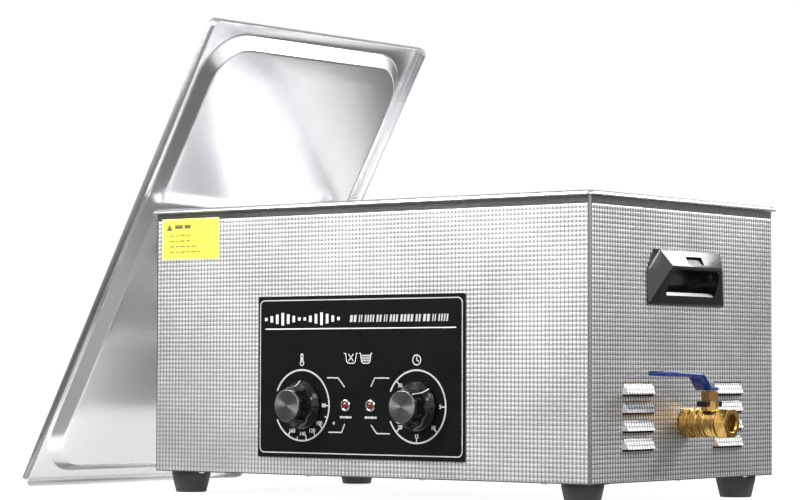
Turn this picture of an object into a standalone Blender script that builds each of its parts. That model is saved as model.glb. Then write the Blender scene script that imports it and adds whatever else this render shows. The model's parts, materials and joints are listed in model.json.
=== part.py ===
"""Bench ultrasonic cleaner with its lid off: a sheet housing round a drawn tank, dial controls, a drain valve, and the lid leaning on the left rim."""

import math

import bmesh
import bpy
from mathutils import Matrix, Vector

MM = 0.001
GAP = 0.3  # clearance between neighbouring pieces, mm

# The unit's own frame, mm: origin on the floor under the middle of the housing, X along the front, Y to the back, Z up.
# SHIFT moves it so that the whole object's bounding box stands centred on the origin.
SHIFT = (70.16, 6.04)

# Housing
HOUSE_X = 260.5  # half width
HOUSE_Y = 156.5  # half depth
SHEET = 1.0
HOUSE_Z0, HOUSE_Z1 = 21.0, 279.2
RIM_X, RIM_Y = 265.0, 161.0  # half sizes of the tank's flange
RIM_Z = 280.5
SKIRT_Z = 275.8
TANK_X, TANK_Y = 249.0, 149.0  # half sizes inside
TANK_FLOOR = 130.5
FOOT_AT = (235.0, 131.0)
# Controls
PANEL_X, PANEL_Z0, PANEL_Z1 = 124.0, 38.0, 191.5
KNOB_X, KNOB_Z = 69.0, 87.6
LAMP_X, LAMP_Z = 15.0, 88.0
FACE = -HOUSE_Y - GAP - 1.0  # front of the control panel plate
# Valve
VALVE_Z = 73.5
STEM_X = HOUSE_X + 25.8
# Lid
LID_L, LID_B = 536.0, 326.0
LID_LEAN, LID_TURN = math.radians(59.68), math.radians(-2.0)
LID_SHEET = 0.8
LID_FLANGE, LID_RUN, LID_PRESS, LID_LIP = 13.5, 11.0, 10.5, 8.5

for old in list(bpy.data.objects):
    bpy.data.objects.remove(old, do_unlink=True)

PARTS = bpy.data.collections.new("ultrasonic_cleaner")
CUTS = bpy.data.collections.new("cutters")
bpy.context.scene.collection.children.link(PARTS)
bpy.context.scene.collection.children.link(CUTS)
CUTS.hide_render = True

FRONT = (math.pi / 2, 0, 0)  # local Z comes out of the front face
BACK = (-math.pi / 2, 0, 0)
RIGHT = (0, math.pi / 2, 0)


def material(name, colour, metallic, roughness):
    made = bpy.data.materials.new(name)
    made.use_nodes = True
    shader = made.node_tree.nodes["Principled BSDF"]
    shader.inputs["Base Color"].default_value = (*colour, 1)
    shader.inputs["Metallic"].default_value = metallic
    shader.inputs["Roughness"].default_value = roughness
    made.diffuse_color = (*colour, 1)
    return made


LOOKS = {
    "embossed_steel": ((0.62, 0.63, 0.65), 1, 0.3),
    "tank_steel": ((0.68, 0.68, 0.7), 1, 0.2),
    "lid_steel": ((0.72, 0.72, 0.74), 1, 0.12),
    "plate_steel": ((0.45, 0.46, 0.48), 1, 0.4),
    "black_plastic": ((0.015, 0.015, 0.016), 0, 0.35),
    "knob_black": ((0.01, 0.01, 0.01), 0, 0.12),
    "panel_black": ((0.012, 0.012, 0.014), 0, 0.25),
    "black_rubber": ((0.02, 0.02, 0.02), 0, 0.8),
    "spun_aluminium": ((0.5, 0.5, 0.52), 1, 0.28),
    "label_yellow": ((0.9, 0.75, 0.05), 0, 0.4),
    "lamp_red": ((0.6, 0.02, 0.02), 0, 0.1),
    "bezel_chrome": ((0.7, 0.7, 0.7), 1, 0.1),
    "brass": ((0.7, 0.45, 0.16), 1, 0.25),
    "lever_blue": ((0.02, 0.06, 0.3), 0, 0.4),
    "nut_steel": ((0.6, 0.6, 0.6), 1, 0.25),
    "white_seat": ((0.85, 0.85, 0.83), 0, 0.4),
    "cast_aluminium": ((0.55, 0.56, 0.58), 1, 0.4),
    "heater_orange": ((0.55, 0.2, 0.05), 0, 0.7),
    "board_green": ((0.03, 0.18, 0.08), 0, 0.5),
    "core_steel": ((0.25, 0.26, 0.28), 1, 0.5),
}


def place(ob, slot, at, rot, coll):
    coll.objects.link(ob)
    ob.location = ((at[0] + SHIFT[0]) * MM, (at[1] + SHIFT[1]) * MM, at[2] * MM)
    ob.rotation_euler = rot
    if slot:
        ob.data.materials.append(material(ob.name + "_" + slot, *LOOKS[slot]))
    else:
        ob.hide_render = True
        ob.display_type = "WIRE"
    return ob


def solid(name, bm, slot=None, at=(0, 0, 0), rot=(0, 0, 0), scale=MM):
    """An object from a bmesh drawn in millimetres about `at`. Without a slot it is a cutter."""
    bmesh.ops.scale(bm, vec=(scale,) * 3, verts=bm.verts)
    bmesh.ops.recalc_face_normals(bm, faces=bm.faces)
    mesh = bpy.data.meshes.new(name)
    bm.to_mesh(mesh)
    bm.free()
    return place(bpy.data.objects.new(name, mesh), slot, at, rot, PARTS if slot else CUTS)


def box(bm, lo, hi):
    mid = [(a + b) / 2 for a, b in zip(lo, hi)]
    size = [b - a for a, b in zip(lo, hi)]
    bmesh.ops.create_cube(bm, size=1, matrix=Matrix.Translation(mid) @ Matrix.Diagonal((*size, 1)))


def boxes(*pairs):
    bm = bmesh.new()
    for lo, hi in pairs:
        box(bm, lo, hi)
    return bm


def rod(bm, start, end, r, steps=16, r2=None):
    a, b = Vector(start), Vector(end)
    turn = (b - a).to_track_quat("Z", "Y").to_matrix().to_4x4()
    bmesh.ops.create_cone(bm, cap_ends=True, segments=steps, radius1=r, radius2=r if r2 is None else r2,
                          depth=(b - a).length, matrix=Matrix.Translation((a + b) / 2) @ turn)


def prism(bm, outline, lo, hi, axis="Z"):
    """A flat outline pushed from lo to hi along an axis: outline pairs are (x, y), (x, z) or (y, z)."""
    def at(u, v, w):
        return {"Z": (u, v, w), "Y": (u, w, v), "X": (w, u, v)}[axis]

    corners = [bm.verts.new(at(u, v, lo)) for u, v in outline]
    edges = [bm.edges.new((corners[i - 1], corners[i])) for i in range(len(corners))]
    face = bmesh.ops.contextual_create(bm, geom=corners + edges)["faces"]
    pushed = bmesh.ops.extrude_face_region(bm, geom=face)
    moved = [v for v in pushed["geom"] if isinstance(v, bmesh.types.BMVert)]
    bmesh.ops.translate(bm, vec=Vector(at(0, 0, hi)) - Vector(at(0, 0, lo)), verts=moved)


def loft(bm, rings):
    """Skin through rings of equal point counts, both ends capped."""
    rows = [[bm.verts.new(p) for p in ring] for ring in rings]
    for a, b in zip(rows, rows[1:]):
        for i in range(len(a)):
            bm.faces.new((a[i - 1], a[i], b[i], b[i - 1]))
    bm.faces.new(rows[0])
    bm.faces.new(rows[-1])


def rounded(hx, hy, r, z, cx=0.0, cy=0.0, steps=4):
    """A rounded rectangle of half sizes hx, hy at height z."""
    found = []
    for sx, sy, start in ((1, 1, 0), (-1, 1, 90), (-1, -1, 180), (1, -1, 270)):
        for k in range(steps + 1):
            a = math.radians(start + 90 * k / steps)
            found.append((cx + sx * (hx - r) + r * math.cos(a), cy + sy * (hy - r) + r * math.sin(a), z))
    return found


def turned(name, profile, steps, slot=None, at=(0, 0, 0), rot=(0, 0, 0), ring=False):
    """A turned piece: (radius, height) pairs down the outer side, and back up the bore when ring is set."""
    mesh = bpy.data.meshes.new(name)
    count = len(profile)
    links = [(i, i + 1) for i in range(count - 1)] + ([(count - 1, 0)] if ring else [])
    links = [(a, b) for a, b in links if profile[a][0] or profile[b][0]]
    mesh.from_pydata([(r * MM, 0, z * MM) for r, z in profile], links, [])
    ob = place(bpy.data.objects.new(name, mesh), slot, at, rot, PARTS if slot else CUTS)
    turn = ob.modifiers.new("turn", "SCREW")
    turn.axis = "Z"
    turn.steps = turn.render_steps = steps
    turn.use_merge_vertices = True
    turn.merge_threshold = 0.00001
    turn.use_smooth_shade = False
    return ob


def boolean(ob, other, operation="DIFFERENCE"):
    cut = ob.modifiers.new(operation.lower(), "BOOLEAN")
    cut.operation = operation
    cut.solver = "EXACT"
    cut.use_self = True
    cut.object = other
    other.hide_render = True
    other.display_type = "WIRE"


def bevel(ob, width, segments=2, angle=30):
    edge = ob.modifiers.new("bevel", "BEVEL")
    edge.width = width * MM
    edge.segments = segments
    edge.limit_method = "ANGLE"
    edge.angle_limit = math.radians(angle)


def nut(name, flats, low, high, bore, slot, at, rot=(0, 0, 0), sides=6, phase=0.0, chamfer=0.8, spigot=None):
    """A chamfered nut with a round bore, between two heights on its own axis."""
    def ring(r, z):
        r /= math.cos(math.pi / sides)
        return [(r * math.cos(phase + 2 * math.pi * k / sides), r * math.sin(phase + 2 * math.pi * k / sides), z) for k in range(sides)]

    bm = bmesh.new()
    loft(bm, [ring(flats / 2 - chamfer, low), ring(flats / 2, low + chamfer * 0.6), ring(flats / 2, high - chamfer * 0.6),
              ring(flats / 2 - chamfer, high)])
    made = solid(name, bm, slot, at, rot)
    if spigot:
        tube = bmesh.new()
        rod(tube, (0, 0, spigot[1]), (0, 0, low + 2), spigot[0], 28)
        boolean(made, solid(name + "_spigot", tube, None, at, rot), "UNION")
    hole = bmesh.new()
    rod(hole, (0, 0, (spigot[1] if spigot else low) - 2), (0, 0, high + 2), bore, 24)
    boolean(made, solid(name + "_hole", hole, None, at, rot))
    return made


# ---------------------------------------------------------------- housing
def wrap_outline():
    """Front and both sides in one sheet with bent corners."""
    out, inn = [(-HOUSE_X, HOUSE_Y)], []
    for cx, start in ((-HOUSE_X + 2.2, 180), (HOUSE_X - 2.2, 270)):
        for k in range(4):
            a = math.radians(start + 30 * k)
            out.append((cx + 2.2 * math.cos(a), -HOUSE_Y + 2.2 + 2.2 * math.sin(a)))
            inn.append((cx + 1.2 * math.cos(a), -HOUSE_Y + 2.2 + 1.2 * math.sin(a)))
    out.append((HOUSE_X, HOUSE_Y))
    return out + [(HOUSE_X - SHEET, HOUSE_Y)] + inn[::-1] + [(-HOUSE_X + SHEET, HOUSE_Y)]


wrap_bm = bmesh.new()
prism(wrap_bm, wrap_outline(), HOUSE_Z0, HOUSE_Z1)
wrap = solid("housing_wrap", wrap_bm, "embossed_steel")

LOUVRES = [(y, top, bottom) for y in (-80.5, 73.5)
           for top, bottom in ((109.7, 99.9), (93.3, 83.5), (76.9, 67.1), (60.5, 50.7))]
hoods, slots = bmesh.new(), bmesh.new()
for side in (1, -1):
    for y, top, bottom in LOUVRES:
        prism(hoods, [(side * (HOUSE_X - 0.6), top), (side * HOUSE_X, top), (side * (HOUSE_X + 5.2), bottom + 0.6),
                      (side * (HOUSE_X + 5.2), bottom), (side * (HOUSE_X - 0.6), bottom)], y - 25, y + 25, "Y")
        prism(slots, [(side * (HOUSE_X - 3), top - 2.2), (side * (HOUSE_X - 0.2), top - 2.2),
                      (side * (HOUSE_X + 4.2), bottom + 0.4), (side * (HOUSE_X + 4.2), bottom - 0.4),
                      (side * (HOUSE_X - 3), bottom - 0.4)], y - 24, y + 24, "Y")
boolean(wrap, solid("louvre_hoods", hoods), "UNION")
holes = slots
for side in (1, -1):
    box(holes, (side * HOUSE_X - 5, -47.0, 185.4), (side * HOUSE_X + 5, 47.0, 228.6))
    rod(holes, (side * KNOB_X, -HOUSE_Y - 6, KNOB_Z), (side * KNOB_X, -HOUSE_Y + 6, KNOB_Z), 5.0)
    rod(holes, (side * LAMP_X, -HOUSE_Y - 6, LAMP_Z), (side * LAMP_X, -HOUSE_Y + 6, LAMP_Z), 4.6)
rod(holes, (HOUSE_X - 5, 0, VALVE_Z), (HOUSE_X + 5, 0, VALVE_Z), 9.0, 24)
boolean(wrap, solid("wall_holes", holes))

# Rear panel with the fan opening, the inlet cut-out and a bank of slots
FAN_X, FAN_Z = -120.0, 76.0
INLET_X, INLET_Z = 170.0, 62.0
rear = solid("rear_panel", boxes(((-259.1, 155.4, 23.0), (259.1, 156.4, 279.0))), "plate_steel")
rear_cuts = bmesh.new()
rod(rear_cuts, (FAN_X, 150, FAN_Z), (FAN_X, 162, FAN_Z), 37.0, 32)
box(rear_cuts, (INLET_X - 14.6, 150, INLET_Z - 18.1), (INLET_X + 14.6, 162, INLET_Z + 18.1))
for k in range(7):
    box(rear_cuts, (-20, 150, 46 + 9 * k), (50, 162, 50 + 9 * k))
boolean(rear, solid("rear_openings", rear_cuts))

# Bottom plate: a tray folded up inside the wrap
tray = solid("bottom_plate", boxes(((-259.1, -155.1, 21.2), (259.1, 155.0, 36.0))), "plate_steel")
tray_cuts = boxes(((-257.9, -153.9, 22.4), (257.9, 153.8, 40.0)))
for k in range(8):
    box(tray_cuts, (-70 + 20 * k, -60, 15), (-64 + 20 * k, -20, 30))
boolean(tray, solid("tray_inside", tray_cuts))

for sx, sy, where in ((-1, -1, "front_left"), (1, -1, "front_right"), (-1, 1, "rear_left"), (1, 1, "rear_right")):
    turned("foot_" + where, [(0, 20.9), (18.3, 20.9), (19.2, 19.6), (19.2, 17.5), (15.0, 0.0), (5.5, 0.0), (5.5, 12.0), (0, 12.0)],
           22, "black_rubber", (sx * FOOT_AT[0], sy * FOOT_AT[1], 0))

# ---------------------------------------------------------------- tank
tank_rings = [rounded(236, 136, 18, TANK_FLOOR), rounded(243.5, 143.5, 24, 132.2), rounded(TANK_X, TANK_Y, 30, 139.5),
              rounded(TANK_X, TANK_Y, 30, 274.5), rounded(250.4, 150.4, 31, 278.4), rounded(254, 154, 34, RIM_Z),
              rounded(264.2, 160.2, 4, RIM_Z), rounded(RIM_X, RIM_Y, 4, 279.7), rounded(RIM_X, RIM_Y, 4, SKIRT_Z),
              rounded(264, 160, 3, SKIRT_Z), rounded(264, 160, 3, 279.5), rounded(254.4, 154.4, 34, 279.5),
              rounded(251.4, 151.4, 32, 277.9), rounded(250, 150, 31, 274.2), rounded(250, 150, 31, 139.2),
              rounded(244.2, 144.2, 25, 131.3), rounded(236.5, 136.5, 18.5, 129.5)]
tank_bm = bmesh.new()
loft(tank_bm, tank_rings)
tank = solid("tank", tank_bm, "tank_steel")
DRAIN_X = 214.0
drain_hole = bmesh.new()
rod(drain_hole, (DRAIN_X, 0, 120), (DRAIN_X, 0, 136), 8.3, 20)
boolean(tank, solid("drain_hole", drain_hole))

# ---------------------------------------------------------------- controls
panel_bm = bmesh.new()
prism(panel_bm, [(x, z + (PANEL_Z0 + PANEL_Z1) / 2) for x, z, _ in rounded(PANEL_X, (PANEL_Z1 - PANEL_Z0) / 2, 1.5, 0, steps=3)],
      FACE, FACE + 1.0, "Y")
panel = solid("control_panel", panel_bm, "panel_black")
panel_holes = bmesh.new()
for side in (1, -1):
    rod(panel_holes, (side * KNOB_X, FACE - 5, KNOB_Z), (side * KNOB_X, FACE + 5, KNOB_Z), 4.5)
    rod(panel_holes, (side * LAMP_X, FACE - 5, LAMP_Z), (side * LAMP_X, FACE + 5, LAMP_Z), 4.6)
boolean(panel, solid("panel_openings", panel_holes))


def knob(name, x, pointer):
    """A dial knob about its own axis, local Z out of the panel. pointer is degrees clockwise from the top."""
    def lobed(r, depth, z, lobes=10, per=4):
        ring = []
        for i in range(lobes * per):
            a = 2 * math.pi * i / (lobes * per)
            dip = depth * abs(math.cos(lobes * a / 2)) ** 3
            ring.append(((r - dip) * math.cos(a), (r - dip) * math.sin(a), z))
        return ring

    bm = bmesh.new()
    rings = [lobed(22.6, 0, 0.0), lobed(23.2, 0, 0.8), lobed(23.2, 0, 2.2), lobed(21.0, 0.1, 4.6), lobed(18.6, 0.5, 8.0),
             lobed(17.4, 0.9, 13.0), lobed(16.9, 1.0, 19.0), lobed(16.3, 0.4, 20.9), lobed(15.8, 0, 21.3),
             lobed(15.35, 0, 21.3), lobed(15.35, 0, 20.4)]
    loft(bm, rings)
    body = solid(name, bm, "knob_black", (x, FACE - 0.6, KNOB_Z), FRONT)
    bore = bmesh.new()
    rod(bore, (0, 0, -3), (0, 0, 15), 3.5, 16)
    boolean(body, solid(name + "_bore", bore, None, (x, FACE - 0.6, KNOB_Z), FRONT))
    turn = math.radians(pointer)
    rib = boxes(((-0.9, 14.0, 4.0), (0.9, 17.0, 20.0)), ((-0.7, 15.0, 0.6), (0.7, 22.9, 3.4)))
    bmesh.ops.rotate(rib, cent=(0, 0, 0), matrix=Matrix.Rotation(-turn, 3, "Z"), verts=rib.verts)
    boolean(body, solid(name + "_pointer", rib, None, (x, FACE - 0.6, KNOB_Z), FRONT), "UNION")
    turned(name + "_cap", [(0, 21.9), (10, 22.0), (14.4, 22.1), (15.0, 21.6), (15.0, 20.7), (0, 20.7)], 40,
           "spun_aluminium", (x, FACE - 0.6, KNOB_Z), FRONT)


knob("thermostat_knob", -KNOB_X, 0)
knob("timer_knob", KNOB_X, 45)
for name, side, back in (("thermostat_shaft", -1, -22.0), ("timer_shaft", 1, -22.0)):
    shaft = turned(name, [(0, 13.5), (2.8, 13.5), (3.2, 13.0), (3.2, back), (0, back)], 20, "nut_steel",
                   (side * KNOB_X, FACE, KNOB_Z), FRONT)
# Thermostat: a turned can behind the wall with its capillary bulb bent up beside it
body_profile = [(8.0, -3.0), (8.0, -5.0), (19.0, -6.5), (20.0, -8.5), (20.0, -24.0), (18.0, -26.0), (0, -26.0), (0, -22.6), (3.6, -22.6), (3.6, -3.0)]
stat = turned("thermostat_body", body_profile, 32, "plate_steel", (-KNOB_X, FACE, KNOB_Z), FRONT, ring=True)
tail = bmesh.new()
rod(tail, (0, 12, -20), (0, 34, -20), 1.6, 10)
rod(tail, (0, 30, -20), (60, 30, -20), 3.2, 12)
boolean(stat, solid("capillary_bulb", tail, None, (-KNOB_X, FACE, KNOB_Z), FRONT), "UNION")
timer = solid("timer_body", boxes(((-26, -26, -34), (26, 26, -6)), ((-20, -20, -42), (20, 20, -33))), "plate_steel",
              (KNOB_X, FACE, KNOB_Z), FRONT)
collar = bmesh.new()
rod(collar, (0, 0, -8), (0, 0, -3.0), 8.0, 20)
rod(collar, (0, 0, -45), (0, 0, -41), 12.0, 20)
boolean(timer, solid("timer_collar", collar, None, (KNOB_X, FACE, KNOB_Z), FRONT), "UNION")
timer_bore = bmesh.new()
rod(timer_bore, (0, 0, -22.6), (0, 0, 0), 3.6, 16)
boolean(timer, solid("timer_bore", timer_bore, None, (KNOB_X, FACE, KNOB_Z), FRONT))

for name, side in (("heating_lamp", -1), ("timer_lamp", 1)):
    at = (side * LAMP_X, FACE, LAMP_Z)
    turned(name + "_bezel", [(4.6, 2.4), (5.4, 2.0), (5.8, 1.2), (5.8, 0.3), (4.3, 0.3), (4.3, -9.0), (3.6, -9.0), (3.6, 2.4)],
           20, "bezel_chrome", at, FRONT, ring=True)
    turned(name + "_lens", [(0, 3.4), (1.6, 3.1), (2.8, 2.4), (3.3, 1.4), (3.3, -8.0), (0, -8.0)], 24, "lamp_red", at, FRONT)

label = solid("front_label", boxes(((-252.0, -157.2, 230.0), (-176.3, -156.8, 270.5))), "label_yellow")
plate = solid("rating_plate", boxes(((60.0, 156.7, 120.0), (140.0, 157.2, 175.0))), "spun_aluminium")


# ---------------------------------------------------------------- side handles
def side_handle(name, side):
    """A moulded grip through the side wall: hood above, finger recess, lip below. p is the distance out from the wall."""
    def hull(points):
        bm = bmesh.new()
        for p, y, z in points:
            for s in (1, -1):
                bm.verts.new((side * p, s * y, z))
        made = bmesh.ops.convex_hull(bm, input=bm.verts)
        loose = [v for v in bm.verts if not v.link_faces]
        bmesh.ops.delete(bm, geom=loose, context="VERTS")
        bmesh.ops.dissolve_limit(bm, angle_limit=0.002, verts=bm.verts, edges=bm.edges)
        return bm

    at = (side * HOUSE_X, 0, 0)
    body = solid(name, hull([(0.3, 66, 181), (0.3, 66, 213), (0.3, 55, 232.5), (1.8, 65, 181.5), (1.8, 65, 213), (6.0, 51.5, 231.5),
                             (13.7, 42.8, 216), (13.0, 43.5, 213), (5.5, 44.5, 190), (3.5, 57, 183)]), "black_plastic", at)
    bevel(body, 0.9, 2, 25)
    cup = boxes(((-9.6, -46.4, 186.0), (1.0, 46.4, 228.0)))
    if side < 0:
        bmesh.ops.scale(cup, vec=(-1, 1, 1), verts=cup.verts)
    boolean(body, solid(name + "_cup", cup, None, at), "UNION")
    recess = bmesh.new()
    prism(recess, [(side * p, z) for p, z in ((20, 191.5), (-8.4, 191.5), (-8.4, 226.0), (3.4, 226.0), (9.2, 213.4), (20, 213.4))],
          -42.3, 42.3, "Y")
    boolean(body, solid(name + "_recess", recess, None, at))
    notch = bmesh.new()
    prism(notch, [(side * p, z) for p, z in ((8.0, 219.0), (7.0, 226.5), (16.0, 226.5), (16.0, 219.0))], -13.5, 13.5, "Y")
    boolean(body, solid(name + "_notch", notch, None, at))


side_handle("side_handle_right", 1)
side_handle("side_handle_left", -1)

# ---------------------------------------------------------------- drain valve, local Z out along +X from the wall
AT = (HOUSE_X, 0, VALVE_Z)
barrel = [(11.6, 38.0), (13.4, 37.4), (13.4, 34.0), (12.4, 33.2), (12.9, 29.0), (12.9, 26.5), (13.7, 25.6), (13.7, 21.4), (12.9, 20.6),
          (12.9, 18.4), (13.7, 17.6), (13.7, 13.4), (11.6, 12.0), (11.6, 9.4), (13.9, 8.6), (13.9, 1.6), (12.6, 0.3), (6.8, 0.3), (6.8, 12.6),
          (9.9, 12.6), (9.9, 38.0)]
valve = turned("valve_body", barrel, 26, "brass", AT, RIGHT, ring=True)
neck = bmesh.new()
rod(neck, (STEM_X, 0, VALVE_Z + 11.2), (STEM_X, 0, VALVE_Z + 20.0), 8.0, 24)
box(neck, (STEM_X - 5, -12.5, VALVE_Z + 16.5), (STEM_X + 5, 12.5, VALVE_Z + 19.8))
boolean(valve, solid("valve_neck", neck), "UNION")
neck_bore = bmesh.new()
rod(neck_bore, (STEM_X, 0, VALVE_Z + 8), (STEM_X, 0, VALVE_Z + 26), 4.5, 20)
boolean(valve, solid("valve_neck_bore", neck_bore))
nut("valve_outlet", 25.4, 38.3, 49.7, 7.6, "brass", AT, RIGHT, 6, math.pi / 6, 0.9, (9.6, 36.2))
for name, z0, z1, hollow in (("valve_seat_inner", 12.9, 17.9, 1), ("valve_seat_outer", 33.7, 35.9, -1)):
    if hollow > 0:
        rows = [(9.5, 16.2), (9.5, 12.9), (6.4, 12.9), (6.4, 17.6), (7.2, 18.2)]
    else:
        rows = [(9.5, 35.9), (9.5, 35.6), (7.0, 33.3), (6.4, 33.6), (6.6, 35.9)]
    turned(name, rows, 24, "white_seat", AT, RIGHT, ring=True)
ball_profile = [(9.4 * math.sin(math.radians(a)), 9.4 * math.cos(math.radians(a))) for a in range(0, 181, 15)]
ball_profile[0], ball_profile[-1] = (0, 9.4), (0, -9.4)
ball = turned("valve_ball", ball_profile, 24, "nut_steel", (STEM_X, 0, VALVE_Z))
ball_cuts = bmesh.new()
rod(ball_cuts, (0, -15, 0), (0, 15, 0), 6.0, 20)
box(ball_cuts, (-1.6, -12, 7.2), (1.6, 12, 12))
boolean(ball, solid("ball_cuts", ball_cuts, None, (STEM_X, 0, VALVE_Z)))
stem = turned("valve_stem", [(0, 35.0), (2.6, 35.0), (3.0, 34.5), (3.0, 29.8), (4.1, 29.6), (4.1, 9.9), (0, 9.9)], 20, "nut_steel",
              (STEM_X, 0, VALVE_Z))
tang = boxes(((-1.2, -3.4, 7.6), (1.2, 3.4, 10.5)))
boolean(stem, solid("stem_tang", tang, None, (STEM_X, 0, VALVE_Z)), "UNION")
nut("valve_packing_nut", 14.6, 20.3, 29.2, 4.5, "brass", (STEM_X, 0, VALVE_Z))
nut("valve_lever_nut", 9.0, 32.9, 35.6, 3.4, "nut_steel", (STEM_X, 0, VALVE_Z))

# Lever: a pressed strap from the stem out over the barrel, dipped in blue
LEVER = [(10.0, 29.8, 8.5), (-10.0, 29.8, 9.0), (-21.5, 41.2, 9.0), (-24.5, 42.4, 8.6), (-40.0, 42.2, 6.4), (-76.0, 42.8, 5.6),
         (-84.0, 43.0, 7.4), (-90.0, 43.0, 6.6), (-93.5, 43.0, 3.4)]
lever_bm = bmesh.new()
lever_rings = []
for y, z, w in LEVER:
    lever_rings.append([(-w, y, z), (w, y, z), (w, y, z + 2.7), (-w, y, z + 2.7)])
loft(lever_bm, lever_rings)
lever = solid("valve_lever", lever_bm, "lever_blue", (STEM_X, 0, VALVE_Z))
bevel(lever, 0.6, 1, 40)
lever_hole = bmesh.new()
rod(lever_hole, (0, 0, 25), (0, 0, 40), 3.3, 16)
boolean(lever, solid("lever_hole", lever_hole, None, (STEM_X, 0, VALVE_Z)))

# Drain elbow from the tank's floor to the valve, and the locknut behind the wall
elbow = bpy.data.curves.new("drain_path", "CURVE")
elbow.dimensions = "3D"
line = elbow.splines.new("BEZIER")
line.bezier_points.add(2)
for point, at, lead in zip(line.bezier_points, ((0, 0, 128.9), (5.0, 0, 86.0), (HOUSE_X - DRAIN_X, 0, VALVE_Z)),
                           ((0, 0, 14), (2.5, 0, -7.0), (30, 0, 0))):
    point.co = [c * MM for c in at]
    point.handle_left = [(c - h) * MM for c, h in zip(at, (-lead[0], 0, -lead[2]) if at[2] > 120 else lead)]
    point.handle_right = [(c + h) * MM for c, h in zip(at, (-lead[0], 0, -lead[2]) if at[2] > 120 else lead)]
elbow.resolution_u = 7
elbow.use_fill_caps = True
elbow.bevel_resolution = 4


def pipe_mesh(name, radius):
    elbow.bevel_depth = radius * MM
    guide = bpy.data.objects.new(name + "_guide", elbow)
    CUTS.objects.link(guide)
    guide.hide_render = True
    bpy.context.view_layer.update()
    mesh = bpy.data.meshes.new_from_object(guide.evaluated_get(bpy.context.evaluated_depsgraph_get()))
    bpy.data.objects.remove(guide, do_unlink=True)
    bm = bmesh.new()
    bm.from_mesh(mesh)
    bmesh.ops.remove_doubles(bm, verts=bm.verts, dist=0.000002)
    bmesh.ops.recalc_face_normals(bm, faces=bm.faces)
    bm.to_mesh(mesh)
    bm.free()
    mesh.name = name
    return mesh


pipe = place(bpy.data.objects.new("drain_pipe", pipe_mesh("drain_pipe", 8.0)), "brass", (DRAIN_X, 0, 0), (0, 0, 0), PARTS)
core = place(bpy.data.objects.new("pipe_bore", pipe_mesh("pipe_bore", 6.2)), None, (DRAIN_X, 0, 0), (0, 0, 0), CUTS)
ends = bmesh.new()
rod(ends, (0, 0, 126), (0, 0, 132), 6.2, 16)
rod(ends, (HOUSE_X - DRAIN_X - 3, 0, VALVE_Z), (HOUSE_X - DRAIN_X + 3, 0, VALVE_Z), 6.2, 16)
boolean(pipe, core)
boolean(pipe, solid("pipe_ends", ends, None, (DRAIN_X, 0, 0)))
nut("drain_nut", 24.0, -7.0, -1.6, 8.6, "brass", AT, RIGHT)

# ---------------------------------------------------------------- inside: transducers, heaters, electronics
number = 0
for y in (-60, 60):
    for x in (-165, -60, 60, 165):
        number += 1
        if y < 0 and abs(x) == 60:
            y_at = -52
        else:
            y_at = y
        turned("transducer_%d" % number, [(0, 129.2), (24.0, 129.2), (24.0, 126.0), (17.5, 108.0), (17.5, 98.0), (16.0, 97.6), (16.0, 78.0),
                                          (5.0, 77.8), (5.0, 74.0), (0, 74.0)], 14, "cast_aluminium", (x, y_at, 0))
for name, side in (("heater_front", -1), ("heater_rear", 1)):
    pad = boxes(((-190, min(side * 150.4, side * 152.4), 150), (190, max(side * 150.4, side * 152.4), 205)))
    solid(name, pad, "heater_orange")

board_bm = bmesh.new()
box(board_bm, (-60, -15, 34), (75, 105, 35.6))
for x, y in ((-55, -10), (70, -10), (-55, 100), (70, 100)):
    rod(board_bm, (x, y, 22.7), (x, y, 37.5), 3.2, 10)
board = solid("generator_board", board_bm, "board_green")
loads = bmesh.new()
for x, y, r, h in ((-40, 80, 9, 30), (-15, 82, 9, 30), (12, 84, 7, 24), (-44, 10, 6, 18)):
    rod(loads, (x, y, 34.5), (x, y, 35 + h), r, 16)
box(loads, (30, 60, 34.5), (62, 92, 60))
box(loads, (-20, 8, 34.5), (18, 38, 52))
box(loads, (34, 2, 34.5), (64, 24, 48))
boolean(board, solid("board_parts", loads), "UNION")

comb = [(-162, 24)]
for k in range(8):
    x = -162 + 11 * k
    comb += [(x, 62), (x + 3, 62), (x + 3, 30), (x + 11, 30)]
comb = comb[:-2] + [(-82, 24)]
sink_bm = bmesh.new()
prism(sink_bm, comb, 58, 124, "Y")
sink = solid("heat_sink", sink_bm, "cast_aluminium")
transformer = solid("transformer", boxes(((105, 30, 30), (175, 88, 66))), "core_steel")
windings = boxes(((118, 20, 37), (162, 98, 59)), ((96, 36, 22.8), (184, 82, 31)))
boolean(transformer, solid("windings", windings), "UNION")

# Cooling fan: frame with a struted motor seat, rotor and finger guard
fan = solid("fan_frame", boxes(((-40, -12.5, -40), (40, 12.5, 40))), "black_plastic", (FAN_X, 142.4, FAN_Z))
fan_bore = bmesh.new()
rod(fan_bore, (0, -20, 0), (0, 20, 0), 37.4, 40)
boolean(fan, solid("fan_bore", fan_bore, None, (FAN_X, 142.4, FAN_Z)))
struts = bmesh.new()
rod(struts, (0, -12.2, 0), (0, -9.2, 0), 15, 24)
for k in range(3):
    a = math.radians(90 + 120 * k)
    rod(struts, (10 * math.cos(a), -10.7, 10 * math.sin(a)), (38.2 * math.cos(a), -10.7, 38.2 * math.sin(a)), 1.4, 8)
boolean(fan, solid("fan_struts", struts, None, (FAN_X, 142.4, FAN_Z)), "UNION")
rotor = turned("fan_rotor", [(0, 11.5), (14.0, 11.5), (15.0, 10.5), (15.0, -8.7), (0, -8.7)], 28, "black_plastic",
               (FAN_X, 142.4, FAN_Z), BACK)
blades = bmesh.new()
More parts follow.
